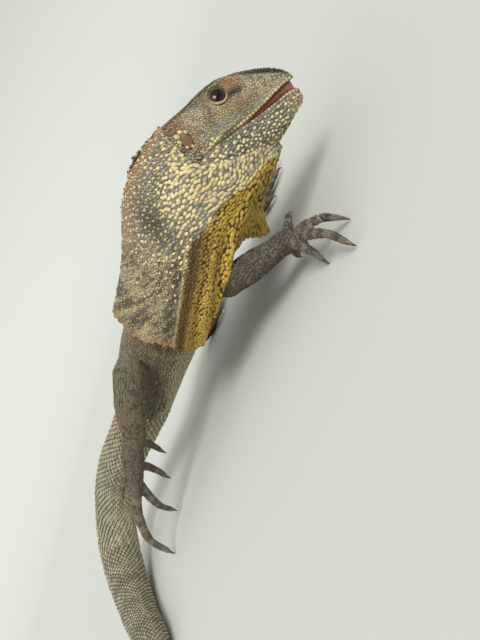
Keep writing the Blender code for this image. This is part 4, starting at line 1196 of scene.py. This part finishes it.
class LIZARD_OT_skin(bpy.types.Operator):
    """One skin over head, frill, trunk, tail and limbs"""

    bl_idname = "lizard.skin"
    bl_label = "Skin"

    GROW = 0.35             # how far the flesh swells before it is made one, so that neighbours join
    SMOOTHING = (0.6, -0.62) * 4            # evens out and swells back, four times over
    TRIANGLES = 180000
    FLOOR_GAP = 0.05        # least height of the skin
    LONG_TOE = 1.12         # how much thicker than the others the longest toe is
    PALM = (14, 10)         # sides round, and sections along, a palm or sole
    DIGIT = (12, 14)        # the same for a digit
    SWELLINGS = (           # of the head: height, place along and its width, height on the head and its width
        (0.7, 6, 6, -10, 5),                # jaw's muscle
        (0.5, 9, 5, 7, 4),                  # temple
        (-0.6, 13, 5, 1.5, 1.6),            # groove before the ear
        (0.8, 25, 6, 15.2, 1.6),            # brow
        (-0.45, 31, 4, 7.2, 2.2),           # hollow before the eye
    )
    FOLDS = (               # of the frill: place across, height and width
        (33, 0.5, 3), (44, 0.5, 3), (53.6, 1.0, 2), (58.5, -1.0, 2.6), (64, 0.5, 2), (68.5, -0.5, 2),
        (74, 0.8, 3), (81, -0.5, 3), (88, 0.6, 3), (96, -0.5, 3), (104, 0.6, 3),
    )

    def execute(self, context):
        sizes, colours, _ = settings()
        STATE["survey"] = Survey()
        whole = bmesh.new()
        for name in FLESH:
            part = bmesh.new()
            part.from_mesh(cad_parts[name].data)
            bmesh.ops.remove_doubles(part, verts=part.verts, dist=1e-6)
            part.normal_update()
            for vert in part.verts:
                vert.co += vert.normal * self.GROW * MM
            self.join(whole, part)
        self.join(whole, self.feet())
        mesh = self.evened(context, whole, sizes.voxel)
        found = STATE["survey"].look(mesh_arrays(mesh)[0])
        self.sculpt(mesh, sizes.coat_depth / MM, found)
        co = mesh_arrays(mesh)[0]
        tint = markings(co, found, Palette(colours), noise(co, 1.2, 5))[1]
        s, y, z = to_head(co).T
        inside = (z < along_line(LIPS, s) + 0.1) & (z > along_line(LOWER_LIPS, s) - 0.1) & (s > 16) & (s < 60)
        tint[inside & (np.abs(y) < 20)] = colours.mouth
        paint(mesh, "tint", tint)
        skin = add_piece("skin", mesh, tinted("skin", 0.6, 0.6, 0.25))
        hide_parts(*FLESH, *FEET)
        return {"FINISHED"}

    def join(self, whole, part):
        """Adds one closed form to the others."""
        mesh = bpy.data.meshes.new("part")
        part.to_mesh(mesh)
        part.free()
        whole.from_mesh(mesh)
        bpy.data.meshes.remove(mesh)

    def evened(self, context, whole, voxel):
        """One closed skin round all the forms, evened out and thinned."""
        mesh = bpy.data.meshes.new("skin")
        whole.to_mesh(mesh)
        whole.free()
        obj = bpy.data.objects.new("skin_draft", mesh)
        context.scene.collection.objects.link(obj)
        remesh = obj.modifiers.new("Remesh", "REMESH")
        remesh.mode = "VOXEL"
        remesh.voxel_size = voxel
        for factor in self.SMOOTHING:
            even = obj.modifiers.new("Smooth", "SMOOTH")
            even.factor = factor
            even.iterations = 2
        dense = bpy.data.meshes.new_from_object(obj.evaluated_get(context.evaluated_depsgraph_get()))
        obj.modifiers.clear()
        obj.data = dense
        dense.calc_loop_triangles()
        thin = obj.modifiers.new("Decimate", "DECIMATE")
        thin.ratio = min(1.0, self.TRIANGLES / len(dense.loop_triangles))
        mesh = bpy.data.meshes.new_from_object(obj.evaluated_get(context.evaluated_depsgraph_get()))
        bpy.data.objects.remove(obj)
        mesh.name = "skin"
        return mesh

    def feet(self):
        """Palms, soles and digits without their claws."""
        bm = bmesh.new()
        made = []
        for side in ("right", "left"):
            hand = (PALMS[side], FINGERS[side], FINGER_RADII)
            foot = (SOLES[side], TOES[side], TOE_RADII)
            for base, digits, radii in (hand, foot):
                joints = [np.array(c, float) + SHIFT for c, r in base]
                made.append((joints, [r for c, r in base], *self.PALM))
                for number, digit in enumerate(digits):
                    swell = self.LONG_TOE if radii is TOE_RADII and number == 3 else 1.0
                    joints = [np.array(c, float) + SHIFT for c in digit]
                    made.append((joints, [r * swell for r in radii], *self.DIGIT))
        for joints, radii, sides, steps in made:
            tube(bm, np.array(joints), np.array(radii) + self.GROW * 0.6, sides, steps)
        bmesh.ops.recalc_face_normals(bm, faces=bm.faces)
        bmesh.ops.scale(bm, vec=(MM, MM, MM), verts=bm.verts)
        return bm

    def sculpt(self, mesh, depth, found):
        """Sinks the skin by the coat's depth and gives it the swellings and folds of the flesh."""
        co, _, normal = mesh_arrays(mesh)
        s, y, z = to_head(co).T
        part, share, turn, _ = found
        frill = np.isin(part, STATE["survey"].number("frill"))
        push = np.full(len(co), -self.GROW - depth) + 0.2 * frill
        near = smooth(24 - np.abs(y), 0, 4) * smooth(z, -26, -22) * smooth(s, -9, -3) * ~frill
        for height, along, length, level, width in self.SWELLINGS:
            push += height * bump(s, along, length) * bump(z, level, width) * near
        push += 0.45 * bump(s, 36, 9) * bump(z, along_line(CROWN_EDGE, s) - 0.3, 1.3) * near
        lips = bump(z, along_line(LIPS, s), 1.4) + bump(z, along_line(LOWER_LIPS, s), 1.4)
        push += lips * smooth(s, 18, 28) * smooth(24 - np.abs(y), 0, 4)
        push += 0.35 * (noise(co, 5.0, 3) - 0.5)
        across = across_frill(turn) - 4 * (share - 0.5)
        fold = sum(height * bump(across, place, width) for place, height, width in self.FOLDS)
        push += frill * self.outside(co, normal) * smooth(share, 0.25, 0.5) * fold
        co += normal * push[:, None]
        co[:, 2] = np.maximum(co[:, 2], self.FLOOR_GAP)
        mesh.vertices.foreach_set("co", (co * MM).astype(np.float32).ravel())
        mesh.update()

    def outside(self, co, normal):
        """1 on the frill's outer face and -1 on the face towards neck and trunk."""
        middle = np.array([self.core(x) for x in np.arange(0, 200, 1.0)])
        nearest = np.clip(co[:, 0] - SHIFT[0], 0, 199).astype(int)
        away = co - SHIFT - middle[nearest]
        return np.where(np.sum(away * normal, axis=1) > 0, 1.0, -1.0)

    def core(self, x):
        """Point of the spine where the body has reached x."""
        rows = np.array([r[0] for r in SPINE[1:TAIL_FROM]])[::-1]
        return np.array((x, np.interp(x, rows[:, 0], rows[:, 1]), np.interp(x, rows[:, 0], rows[:, 2])))


class LIZARD_OT_head_scales(bpy.types.Operator):
    """Small rounded scales of head and jaws, shields along the lips and large pale scales on the lower jaw"""

    bl_idname = "lizard.head_scales"
    bl_label = "Head scales"

    SHIELD = 1.75           # from one shield of the lips to the next
    SHIELD_SPAN = (17.0, 56.0)              # where the rows of shields begin and end, along the head
    SHIELD_LINES = ((LIPS, 0.55), (LOWER_LIPS, -0.6))       # how far above its line a row of shields lies
    EAR_SIZE = (3.0, 4.4)   # half length and half height of the bare patch round the ear

    def execute(self, context):
        sizes = settings()[0]
        mesh = skin_mesh()
        s, y, z = to_head(mesh[0][mesh[1]].mean(axis=1)).T
        lip = along_line(LIPS, s)
        scaly = self.scaly(s, y, z)
        rng = np.random.default_rng(sizes.seed)
        material = tinted("scale_head", 0.5, 0.35, 0.05)

        roots, normals = self.lines(skin_tree(mesh))
        count = len(roots)
        flows = np.tile(head_axes()[0], (count, 1))
        dimensions = (np.full(count, self.SHIELD * 1.08), np.full(count, 1.6), np.full(count, 0.4))
        coat("scales_lips", roots, normals, flows, dimensions, material, LARGE_SCALE, sizes.seed + 19)
        taken = (roots, normals, np.full(count, 0.7))

        jaw = smooth(lip - z, 1.5, 4.0) * smooth(s, 0, 10)
        corner = bump(s, 12.5, 4.5) * bump(z, -5.6 + 0.1 * (s - 14), 1.8) > 0.3
        sparse = np.where(jaw > 0.3, 2.7 + 0.5 * smooth(s, 40, 50) - 0.6 * smooth(-z, 9, 15), 0)
        roots, normals, _ = scattered(mesh, np.where(corner, 1.7, sparse) * scaly, rng, taken)
        length = 2.0 - 0.3 * smooth(-to_head(roots)[:, 2], 12, 18)
        dimensions = (length, length * 0.74, np.full(len(roots), 0.4))
        seed = sizes.seed + 18
        coat("scales_jaw", roots, normals, None, dimensions, material, LARGE_SCALE, seed, big=True)
        taken = tuple(np.concatenate(pair) for pair in zip(taken, (roots, normals, length * 0.42)))

        crown = smooth(z - along_line(CROWN_EDGE, s), -1, 1)
        local = sizes.head_scale / MM * (1 + 0.25 * jaw + 0.45 * smooth(-s, -8, 6) + 0.15 * crown)
        roots, normals, local = scattered(mesh, np.where(scaly, local, 0), rng, taken)
        dimensions = (local * 1.3, local * 1.15, local * 0.46)
        coat("scales_head", roots, normals, None, dimensions, material, SMALL_SCALE, sizes.seed + 20)
        return {"FINISHED"}

    def scaly(self, s, y, z):
        """Which faces of the skin are the head's, but not the mouth's, the lips', an eye's or an ear's."""
        lip, lower = along_line(LIPS, s), along_line(LOWER_LIPS, s)
        head = np.isin(skin_faces(skin_mesh())[0], STATE["survey"].number("head")) & (s < 58.5)
        mouth = (z < lip + 0.5) & (z > lower - 0.5) & (s > 18.5)
        shields = (((z < lip + 1.9) & (z > lip)) | ((z > lower - 2.1) & (z < lower))) & (s > 16)
        eye_size = np.array(EYE_OPENING) + 1
        from_eye = np.hypot((s - EYE_AT[0] - 1) / eye_size[0], (z - EYE_AT[1] - 1.5) / eye_size[1])
        from_ear = np.hypot((s - EAR_AT[0]) / self.EAR_SIZE[0], (z - EAR_AT[1]) / self.EAR_SIZE[1])
        eye = (from_eye < 1) & (np.abs(y) > 8)
        ear = (from_ear < 1) & (np.abs(y) > 10)
        return head & ~mouth & ~shields & ~eye & ~ear

    def lines(self, tree):
        """Places and directions of the shields along the lips."""
        found = []
        places = np.arange(*self.SHIELD_SPAN, self.SHIELD)
        for table, step in self.SHIELD_LINES:
            for side in (1, -1):
                found.append(on_head(tree, places, along_line(table, places) + step, side))
        return np.vstack([roots for roots, _ in found]), np.vstack([normals for _, normals in found])


class LIZARD_OT_frill_scales(bpy.types.Operator):
    """Scales of the frill: large cream ones at its root, small ones between them, gold ones on the throat"""

    bl_idname = "lizard.frill_scales"
    bl_label = "Frill scales"

    def execute(self, context):
        sizes = settings()[0]
        survey = STATE["survey"]
        size = sizes.frill_scale / MM
        mesh = skin_mesh()
        part, share, turn, _ = skin_faces(mesh)
        frill = np.isin(part, survey.number("frill"))
        along_head = to_head(mesh[0][mesh[1]].mean(axis=1))[:, 0]
        nape = np.isin(part, survey.number("head")) & (along_head < 1)
        across = across_frill(turn)
        begin = along_line(GOLD_FROM, across)
        golden = smooth(across, 60, 66) * smooth(share, begin - 0.02, begin + 0.02) >= 0.5
        rng = np.random.default_rng(sizes.seed + 1)
        material = tinted("scale_frill", 0.55, 0.4, 0.06)

        dense = smooth(across, 22, 40) * smooth(share, 0.42, 0.15)
        sparse = 3.6 - 1.65 * dense + 2.0 * smooth(share, 0.45, 0.7)
        sparse = np.where((frill | nape) & ~golden & (share < 0.75), sparse, 0)
        roots, normals, local = scattered(mesh, sparse, rng)
        length = np.clip(3.0 - 0.35 * (local - 2.0), 2.1, 3.0)
        dimensions = (length, length * 0.62, np.full(len(roots), 0.36))
        self.halves("scales_cream", roots, normals, dimensions, material, LARGE_SCALE, sizes.seed + 22, True)
        taken = (roots, normals, length * 0.36)

        local = size * (1.0 - 0.25 * smooth(share, 0.3, 0.7))
        roots, normals, local = scattered(mesh, np.where(frill & ~golden, local, 0), rng, taken)
        dimensions = (local * 1.5, local * 1.05, local * 0.34)
        self.halves("scales_frill", roots, normals, dimensions, material, SMALL_SCALE, sizes.seed + 21)

        local = size * (1.0 + 0.4 * smooth(across, 74, 90) - 0.12 * smooth(share, 0.6, 0.9))
        roots, normals, local = scattered(mesh, np.where(frill & golden, local, 0), rng)
        dimensions = (local * 1.6, local * 1.14, local * 0.24)
        self.halves("scales_gold", roots, normals, dimensions, material, LARGE_SCALE, sizes.seed + 23)
        return {"FINISHED"}

    def halves(self, name, roots, normals, dimensions, material, shape, seed, big=False):
        """One piece for each side of the animal."""
        right = roots[:, 1] < SHIFT[1]
        for end, chosen in (("right", right), ("left", ~right)):
            part = [d[chosen] for d in dimensions]
            piece = f"{name}_{end}"
            coat(piece, roots[chosen], normals[chosen], None, part, material, shape, seed, big)


class LIZARD_OT_body_scales(bpy.types.Operator):
    """Scales of neck, trunk and limbs"""

    bl_idname = "lizard.body_scales"
    bl_label = "Body scales"

    def execute(self, context):
        sizes = settings()[0]
        survey = STATE["survey"]
        groups = (
            ("scales_trunk", ("trunk",), sizes.body_scale / MM, "skin_grey", 0.36),
            ("scales_arms", ("arm", "hand", "finger"), sizes.limb_scale / MM, "limb_dark", 0.38),
            ("scales_legs", ("leg", "foot", "toe"), sizes.limb_scale / MM * 1.05, "limb_dark", 0.38),
        )
        mesh = skin_mesh()
        part = skin_faces(mesh)[0]
        digit = np.isin(part, survey.number("finger") + survey.number("toe"))
        for index, (name, starts, size, slot, height) in enumerate(groups):
            parts = [k for start in starts for k in survey.number(start)]
            rng = np.random.default_rng(sizes.seed + 2 + index)
            spacing = np.where(np.isin(part, parts), np.where(digit, sizes.digit_scale / MM, size), 0)
            roots, normals, local = scattered(mesh, spacing, rng)
            dimensions = (local * 1.26, local, local * height)
            material = tinted(name, 0.6, 0.35, 0.05)
            seed = sizes.seed + 30 + index
            coat(name, roots, normals, None, dimensions, material, KEELED_SCALE, seed)
        return {"FINISHED"}


class LIZARD_OT_tail_scales(bpy.types.Operator):
    """Keeled rows round the tail"""

    bl_idname = "lizard.tail_scales"
    bl_label = "Tail scales"

    def execute(self, context):
        sizes = settings()[0]
        _, rows, pole = next(length for length in lengths() if length[0] == "tail")

        def size_at(radius):
            return sizes.tail_scale / MM * (0.42 + 0.58 * min(radius / 14.0, 1.15))

        roots, normals, flows, local = in_rows(skin_tree(skin_mesh()), rows, pole, size_at)
        dimensions = (local * 1.3, local * 0.98, local * 0.3)
        material = tinted("scale_tail", 0.6, 0.4, 0.06)
        seed = sizes.seed + 40
        coat("scales_tail", roots, normals, flows, dimensions, material, KEELED_SCALE, seed)
        return {"FINISHED"}


class LIZARD_OT_eyes(bpy.types.Operator):
    """Eyeballs with iris and pupil, and the rims of their lids"""

    bl_idname = "lizard.eyes"
    bl_label = "Eyes"

    RIM = 0.5               # half width of a lid's rim
    RING = 10.0             # radius of the plain ring that a rim is laid out from
    INSET = 0.25            # how far inside the opening's edge the rim's middle lies
    RAISED = 0.15           # how far the rim's middle stands out of the eyeball
    # Colours from the pupil's middle outwards, by the distance from it over the eyeball's radius
    IRIS = (
        (0.0, (5, 4, 5)), (0.34, (6, 5, 6)), (0.39, (44, 22, 16)), (0.56, (54, 28, 20)), (0.68, (26, 16, 13)),
        (0.8, (14, 10, 9)),
    )

    def execute(self, context):
        axes = head_axes()
        for side, name in ((1, "left"), (-1, "right")):
            low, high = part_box("eye_" + name)
            centre = np.array((low + high) / 2) / MM
            facing = unit(EYE_FACING[0] * axes[0] + EYE_FACING[1] * side * axes[1] + EYE_FACING[2] * axes[2])
            level = unit(axes[0] - facing * axes[0].dot(facing))
            rise = np.cross(level, facing) * -side
            bm = bmesh.new()
            bmesh.ops.create_uvsphere(bm, u_segments=48, v_segments=32, radius=EYEBALL)
            turn = Matrix(np.array((level, rise, facing * side * -1)).T.tolist()).to_4x4()
            bmesh.ops.transform(bm, matrix=Matrix.Translation(Vector(centre)) @ turn, verts=bm.verts)
            mesh = mesh_from_bmesh("eyeball_" + name, bm)
            obj = add_piece("eyeball_" + name, mesh, self.material(name, centre, facing))
            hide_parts("eye_" + name)
            self.lid(name, centre, facing, level, axes[2])
        return {"FINISHED"}

    def material(self, name, centre, facing):
        """Black pupil in a dark red-brown iris, by distance from the line that the eye looks along."""
        material, nodes, links, shader = plain("eye_" + name, 0.15)
        shader.inputs["Specular IOR Level"].default_value = SHEEN
        place = nodes.new("ShaderNodeTexCoord")
        from_pupil = nodes.new("ShaderNodeVectorMath")
        from_pupil.operation = "DISTANCE"
        from_pupil.inputs[1].default_value = (centre + facing * EYEBALL) * MM
        links.new(place.outputs["Object"], from_pupil.inputs[0])
        scaled = nodes.new("ShaderNodeMath")
        scaled.operation = "MULTIPLY"
        scaled.inputs[1].default_value = 1 / (EYEBALL * MM)
        links.new(from_pupil.outputs["Value"], scaled.inputs[0])
        ramped(nodes, links, scaled.outputs[0], self.IRIS, shader)
        return material

    def lid(self, name, centre, facing, level, crown):
        """Soft rim round the opening, lying on the eyeball: a ring spun round and laid on it."""
        rise = unit(crown - facing * crown.dot(facing))
        bm = bmesh.new()
        circle = bmesh.ops.create_circle(bm, segments=8, radius=1.0)["verts"]
        for vert in circle:
            vert.co = (self.RING + vert.co.x, 0.0, vert.co.y)
        spun(bm, 56, 1e-4)
        for vert in bm.verts:
            turn = math.atan2(vert.co.y, vert.co.x)
            off = (math.hypot(vert.co.x, vert.co.y) - self.RING) * self.RIM
            along = math.cos(turn) * (EYE_OPENING[0] - self.INSET + off)
            above = math.sin(turn) * (EYE_OPENING[1] - self.INSET + off)
            ball = math.sqrt(max(EYEBALL ** 2 - along ** 2 - above ** 2, 0.1))
            out = ball + self.RIM * vert.co.z + self.RAISED
            vert.co = Vector(centre + level * along + rise * above + facing * out)
        mesh = mesh_from_bmesh("lid_" + name, bm)
        co = mesh_arrays(mesh)[0]
        colours = settings()[1]
        high = (co - centre) @ rise / EYE_OPENING[1]
        below = np.tile(np.array(colours.cream) * 0.6, (len(co), 1))
        tint = mix(below, np.array(colours.crown), smooth(high, -0.5, 0.3))
        tint = tint * (0.7 + 0.6 * noise(co, 0.9, 8))[:, None]
        paint(mesh, "tint", np.clip(tint, 0, 1))
        add_piece("lid_" + name, mesh, tinted("lid_" + name, 0.55, 0.4, 0.08))


class LIZARD_OT_claws(bpy.types.Operator):
    """Curved claws of fingers and toes"""

    bl_idname = "lizard.claws"
    bl_label = "Claws"

    LENGTH = 3.9
    RADIUS = 1.15
    NARROW = 0.8            # half width, over the radius
    POINT = 0.06            # radius of its point
    TAPER = 0.75            # below 1, the claw thins more towards its point than near its root
    BEND = 1.2              # how far a claw turns down from root to point, in radians
    BASE = 0.6              # how far out of the digit's last joint its root is
    ROOM = 0.02             # least distance from the model's box
    HORN = ((0.35, (56, 42, 30)), (0.75, (128, 96, 62)))    # colours, over the strength of the streaks
    STREAKS = 700.0         # blotches of the horn to a metre

    def execute(self, context):
        bm = bmesh.new()
        for side in ("right", "left"):
            for digits in (FINGERS[side], TOES[side]):
                for digit in digits:
                    self.claw(bm, np.array(digit[2], float) + SHIFT, np.array(digit[3], float) + SHIFT)
        add_piece("claws", mesh_from_bmesh("claws", bm), self.material())
        return {"FINISHED"}

    def claw(self, bm, joint, tip):
        """One claw as rings along an arc that bends down."""
        outward = unit(tip - joint)
        down = np.array((0.0, 0.0, -1.0))
        side = np.cross(outward, down)
        pole = unit(side) if np.linalg.norm(side) > 0.05 else np.array((0.0, 1.0, 0.0))
        turns = np.arange(10) / 10
        rings = []
        base = tip + outward * self.BASE
        for share in np.linspace(0, 1, 9):
            bend = self.BEND * share
            heading = unit(outward * math.cos(bend) + down * math.sin(bend))
            centre = base + (outward * math.sin(bend) + down * (1 - math.cos(bend))) * self.LENGTH / self.BEND
            radius = self.RADIUS * (1 - share) ** self.TAPER + self.POINT
            room = radius + self.ROOM
            centre = np.clip(centre, LOWEST + room, HIGHEST - room)
            rings.append(section(centre, heading, pole, radius * self.NARROW, radius, radius, turns))
        extruded(bm, rings)

    def material(self):
        """Dark horn with paler streaks."""
        material, nodes, links, shader = plain("claw", 0.35)
        place = nodes.new("ShaderNodeTexCoord")
        streaks = nodes.new("ShaderNodeTexNoise")
        streaks.inputs["Scale"].default_value = self.STREAKS
        links.new(place.outputs["Object"], streaks.inputs["Vector"])
        ramped(nodes, links, streaks.outputs["Fac"], self.HORN, shader)
        return material


class LIZARD_OT_mouth(bpy.types.Operator):
    """Lining of the parted mouth, and the ear drums with the pale lumps round them"""

    bl_idname = "lizard.mouth"
    bl_label = "Mouth and ears"

    # Lumps of the ear: along the head and height from the ear's middle, and radius
    LUMPS = (
        (-2.6, 3.6, 1.2), (-0.4, 4.6, 1.0), (-3.0, 1.2, 0.9), (1.6, 3.4, 0.8), (0.6, 0.4, 0.9),
        (-1.2, -2.2, 0.8), (1.0, -3.0, 0.7),
    )
    SPAN = (15.0, 56.0)     # where the lining begins and ends, along the head
    OVERLAP = 1.6           # how far the lining reaches above the upper lips and below the lower ones
    WIDTH = 0.8             # of the lining, over the head's
    SQUASH = (1.0, 0.7, 1.25)               # a lump's shape
    RAISED = 0.7            # how far a lump's middle stands out of the skin
    DRUM_SHADE = 0.6        # share of the dark colour in the ear drums' rust

    def execute(self, context):
        colours = settings()[1]
        drum = mix(np.array([colours.rust]), np.array([colours.dark]), (self.DRUM_SHADE,))[0]
        for node in ("ear_left", "ear_right"):
            bm = bmesh.new()
            bm.from_mesh(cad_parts[node].data)
            bmesh.ops.remove_doubles(bm, verts=bm.verts, dist=1e-6)
            mesh = bpy.data.meshes.new(node)
            bm.to_mesh(mesh)
            bm.free()
            self.add(node.replace("ear", "drum"), mesh, drum, node, "eardrum")
        bm = bmesh.new()
        rings = []
        turns = 2 * math.pi * np.arange(20) / 20
        for s in np.linspace(*self.SPAN, 24):
            top = along_line(LIPS, s) + self.OVERLAP
            low = along_line(LOWER_LIPS, s) - self.OVERLAP
            width = self.WIDTH * along_line(HEAD, s)
            up = (top + low) / 2 + (top - low) / 2 * np.sin(turns)
            rings.append(from_head(np.column_stack((np.full(len(turns), s), width * np.cos(turns), up))))
        extruded(bm, rings)
        mesh = mesh_from_bmesh("mouth_lining", bm)
        self.add("mouth_lining", mesh, np.array(colours.mouth), "tongue", "mouth_pink")
        self.lumps(np.array(colours.cream))
        return {"FINISHED"}

    def add(self, name, mesh, colour, node, slot):
        """Adds a wet piece in uneven shades of one colour, which stands in for a node of the model."""
        co = mesh_arrays(mesh)[0]
        paint(mesh, "tint", np.clip(colour * (0.75 + 0.5 * noise(co, 1.4, 4))[:, None], 0, 1))
        piece = add_piece(name, mesh, tinted(name, 0.5, 1.2, 0.2, 0.1))
        rounder = piece.modifiers.new("Rounder", "SUBSURF")
        rounder.levels = rounder.render_levels = 1
        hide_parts(node)

    def lumps(self, colour):
        """Pale lumps round both ears, a little higher than they are wide."""
        tree = skin_tree(skin_mesh())
        table = np.array(self.LUMPS)
        bm = bmesh.new()
        for side in (1, -1):
            places, _ = on_head(tree, EAR_AT[0] + table[:, 0], EAR_AT[1] + table[:, 1], side)
            for place, radius in zip(places, table[:, 2]):
                new = bmesh.ops.create_icosphere(bm, subdivisions=2, radius=radius)["verts"]
                bmesh.ops.scale(bm, vec=self.SQUASH, verts=new)
                bmesh.ops.translate(bm, vec=Vector(place + self.RAISED * side * head_axes()[1]), verts=new)
        mesh = mesh_from_bmesh("ear_lumps", bm)
        co = mesh_arrays(mesh)[0]
        paint(mesh, "tint", np.clip(colour * (0.6 + 0.5 * noise(co, 1.1, 9))[:, None], 0, 1))
        add_piece("ear_lumps", mesh, tinted("ear_lumps", 0.55, 0.5, 0.1))


class LIZARD_OT_stage(bpy.types.Operator):
    """Pale floor and backdrop, soft light and the camera"""

    bl_idname = "lizard.stage"
    bl_label = "Stage"

    FLAT = 1.4              # radius of the flat floor, in metres
    CURVE = 0.7             # radius of the curve up to the wall, in metres
    WALL = 0.05             # height of the wall, in metres
    SKY = (1.0, 0.99, 0.96)
    TARGET = (76.0, -29.0, 13.0)            # what the camera looks at, in the animal's own frame
    SUN_UP = 0.3            # how far from the camera's direction the sun stands, upwards in the picture
    SUN_ABOVE = 0.55        # and how far above it, over the floor

    def execute(self, context):
        stage = settings()[2]
        self.floor(context, stage)
        self.sky(context, stage)
        back, upward = self.camera(context, stage)
        self.sun(context, stage, back, upward)
        context.scene.view_settings.view_transform = "Standard"
        return {"FINISHED"}

    def floor(self, context, stage):
        """Round floor that curves up to a low wall."""
        bm = bmesh.new()
        outline = [(0.0, 0.0), (self.FLAT, 0.0)]
        for turn in np.linspace(0, math.pi / 2, 13)[1:]:
            outline.append((self.FLAT + self.CURVE * math.sin(turn), self.CURVE * (1 - math.cos(turn))))
        outline.append((self.FLAT + self.CURVE, self.CURVE + self.WALL))
        line = bmesh.ops.create_grid(bm, x_segments=len(outline) - 1, y_segments=1, size=1.0)["verts"]
        line = sorted(line, key=lambda v: (v.co.y, v.co.x))
        bmesh.ops.delete(bm, geom=line[len(outline):], context="VERTS")
        for vert, (x, z) in zip(line, outline):
            vert.co = (x, 0.0, z)
        spun(bm, 96, 1e-5)
        bmesh.ops.recalc_face_normals(bm, faces=bm.faces)
        mesh = bpy.data.meshes.new("floor")
        bm.to_mesh(mesh)
        bm.free()
        mesh.polygons.foreach_set("use_smooth", np.ones(len(mesh.polygons), bool))
        floor = bpy.data.objects.new("floor", mesh)
        context.scene.collection.objects.link(floor)
        material, _, _, shader = plain("floor", 0.9)
        shader.inputs["Base Color"].default_value = (*stage.floor, 1)
        mesh.materials.append(material)

    def sky(self, context, stage):
        """Even light from all round."""
        world = bpy.data.worlds.new("studio")
        context.scene.world = world
        world.use_nodes = True
        world.node_tree.nodes["Background"].inputs["Color"].default_value = (*self.SKY, 1)
        world.node_tree.nodes["Background"].inputs["Strength"].default_value = stage.sky

    def camera(self, context, stage):
        """Camera in the photo's place. Returns the ways back to it and up in its picture."""
        az, el, roll = stage.azimuth, stage.elevation, stage.roll
        back = np.array((math.sin(az) * math.cos(el), -math.cos(az) * math.cos(el), math.sin(el)))
        right = unit(np.cross(-back, (0, 0, 1)))
        up = np.cross(right, -back)
        across = right * math.cos(roll) - up * math.sin(roll)
        upward = right * math.sin(roll) + up * math.cos(roll)
        place = np.array(self.TARGET) + SHIFT + back * stage.distance / MM
        data = bpy.data.cameras.new("camera")
        data.lens = stage.lens
        data.sensor_width = 36.0
        data.clip_start = 0.01
        camera = bpy.data.objects.new("camera", data)
        context.scene.collection.objects.link(camera)
        rows = [[across[k], upward[k], back[k], place[k] * MM] for k in range(3)] + [[0, 0, 0, 1]]
        camera.matrix_world = Matrix(rows)
        context.scene.camera = camera
        return back, upward

    def sun(self, context, stage, back, upward):
        """Soft main light from the camera's side."""
        light = bpy.data.lights.new("key", "SUN")
        light.energy = stage.key
        light.angle = stage.softness
        obj = bpy.data.objects.new("key", light)
        context.scene.collection.objects.link(obj)
        towards = Vector(back + self.SUN_UP * upward + (0.0, 0.0, self.SUN_ABOVE)).normalized()
        obj.matrix_world = towards.to_track_quat("Z", "Y").to_matrix().to_4x4()


class LIZARD_PT_panel(bpy.types.Panel):
    """Lists the pieces and their settings"""

    bl_idname = "LIZARD_PT_panel"
    bl_label = "Frilled lizard"
    bl_space_type = "VIEW_3D"
    bl_region_type = "UI"
    bl_category = "Lizard"

    def draw(self, context):
        layout = self.layout
        for operator in OPERATORS:
            layout.operator(operator.bl_idname)
        for group in settings():
            box = layout.box()
            for name in group.bl_rna.properties.keys():
                if name not in ("rna_type", "name"):
                    box.prop(group, name)


OPERATORS = (
    LIZARD_OT_skin, LIZARD_OT_head_scales, LIZARD_OT_frill_scales, LIZARD_OT_body_scales,
    LIZARD_OT_tail_scales, LIZARD_OT_eyes, LIZARD_OT_claws, LIZARD_OT_mouth, LIZARD_OT_stage,
)
GROUPS = (LizardSizes, LizardColours, LizardStage)


def register():
    for kind in GROUPS + OPERATORS + (LIZARD_PT_panel,):
        bpy.utils.register_class(kind)
    bpy.types.Scene.lizard_sizes = PointerProperty(type=LizardSizes)
    bpy.types.Scene.lizard_colours = PointerProperty(type=LizardColours)
    bpy.types.Scene.lizard_stage = PointerProperty(type=LizardStage)


def unregister():
    del bpy.types.Scene.lizard_sizes, bpy.types.Scene.lizard_colours, bpy.types.Scene.lizard_stage
    for kind in reversed(GROUPS + OPERATORS + (LIZARD_PT_panel,)):
        bpy.utils.unregister_class(kind)


def main():
    register()
    for operator in OPERATORS:
        group, name = operator.bl_idname.split(".")
        getattr(getattr(bpy.ops, group), name)()


if __name__ == "__main__":
    main()
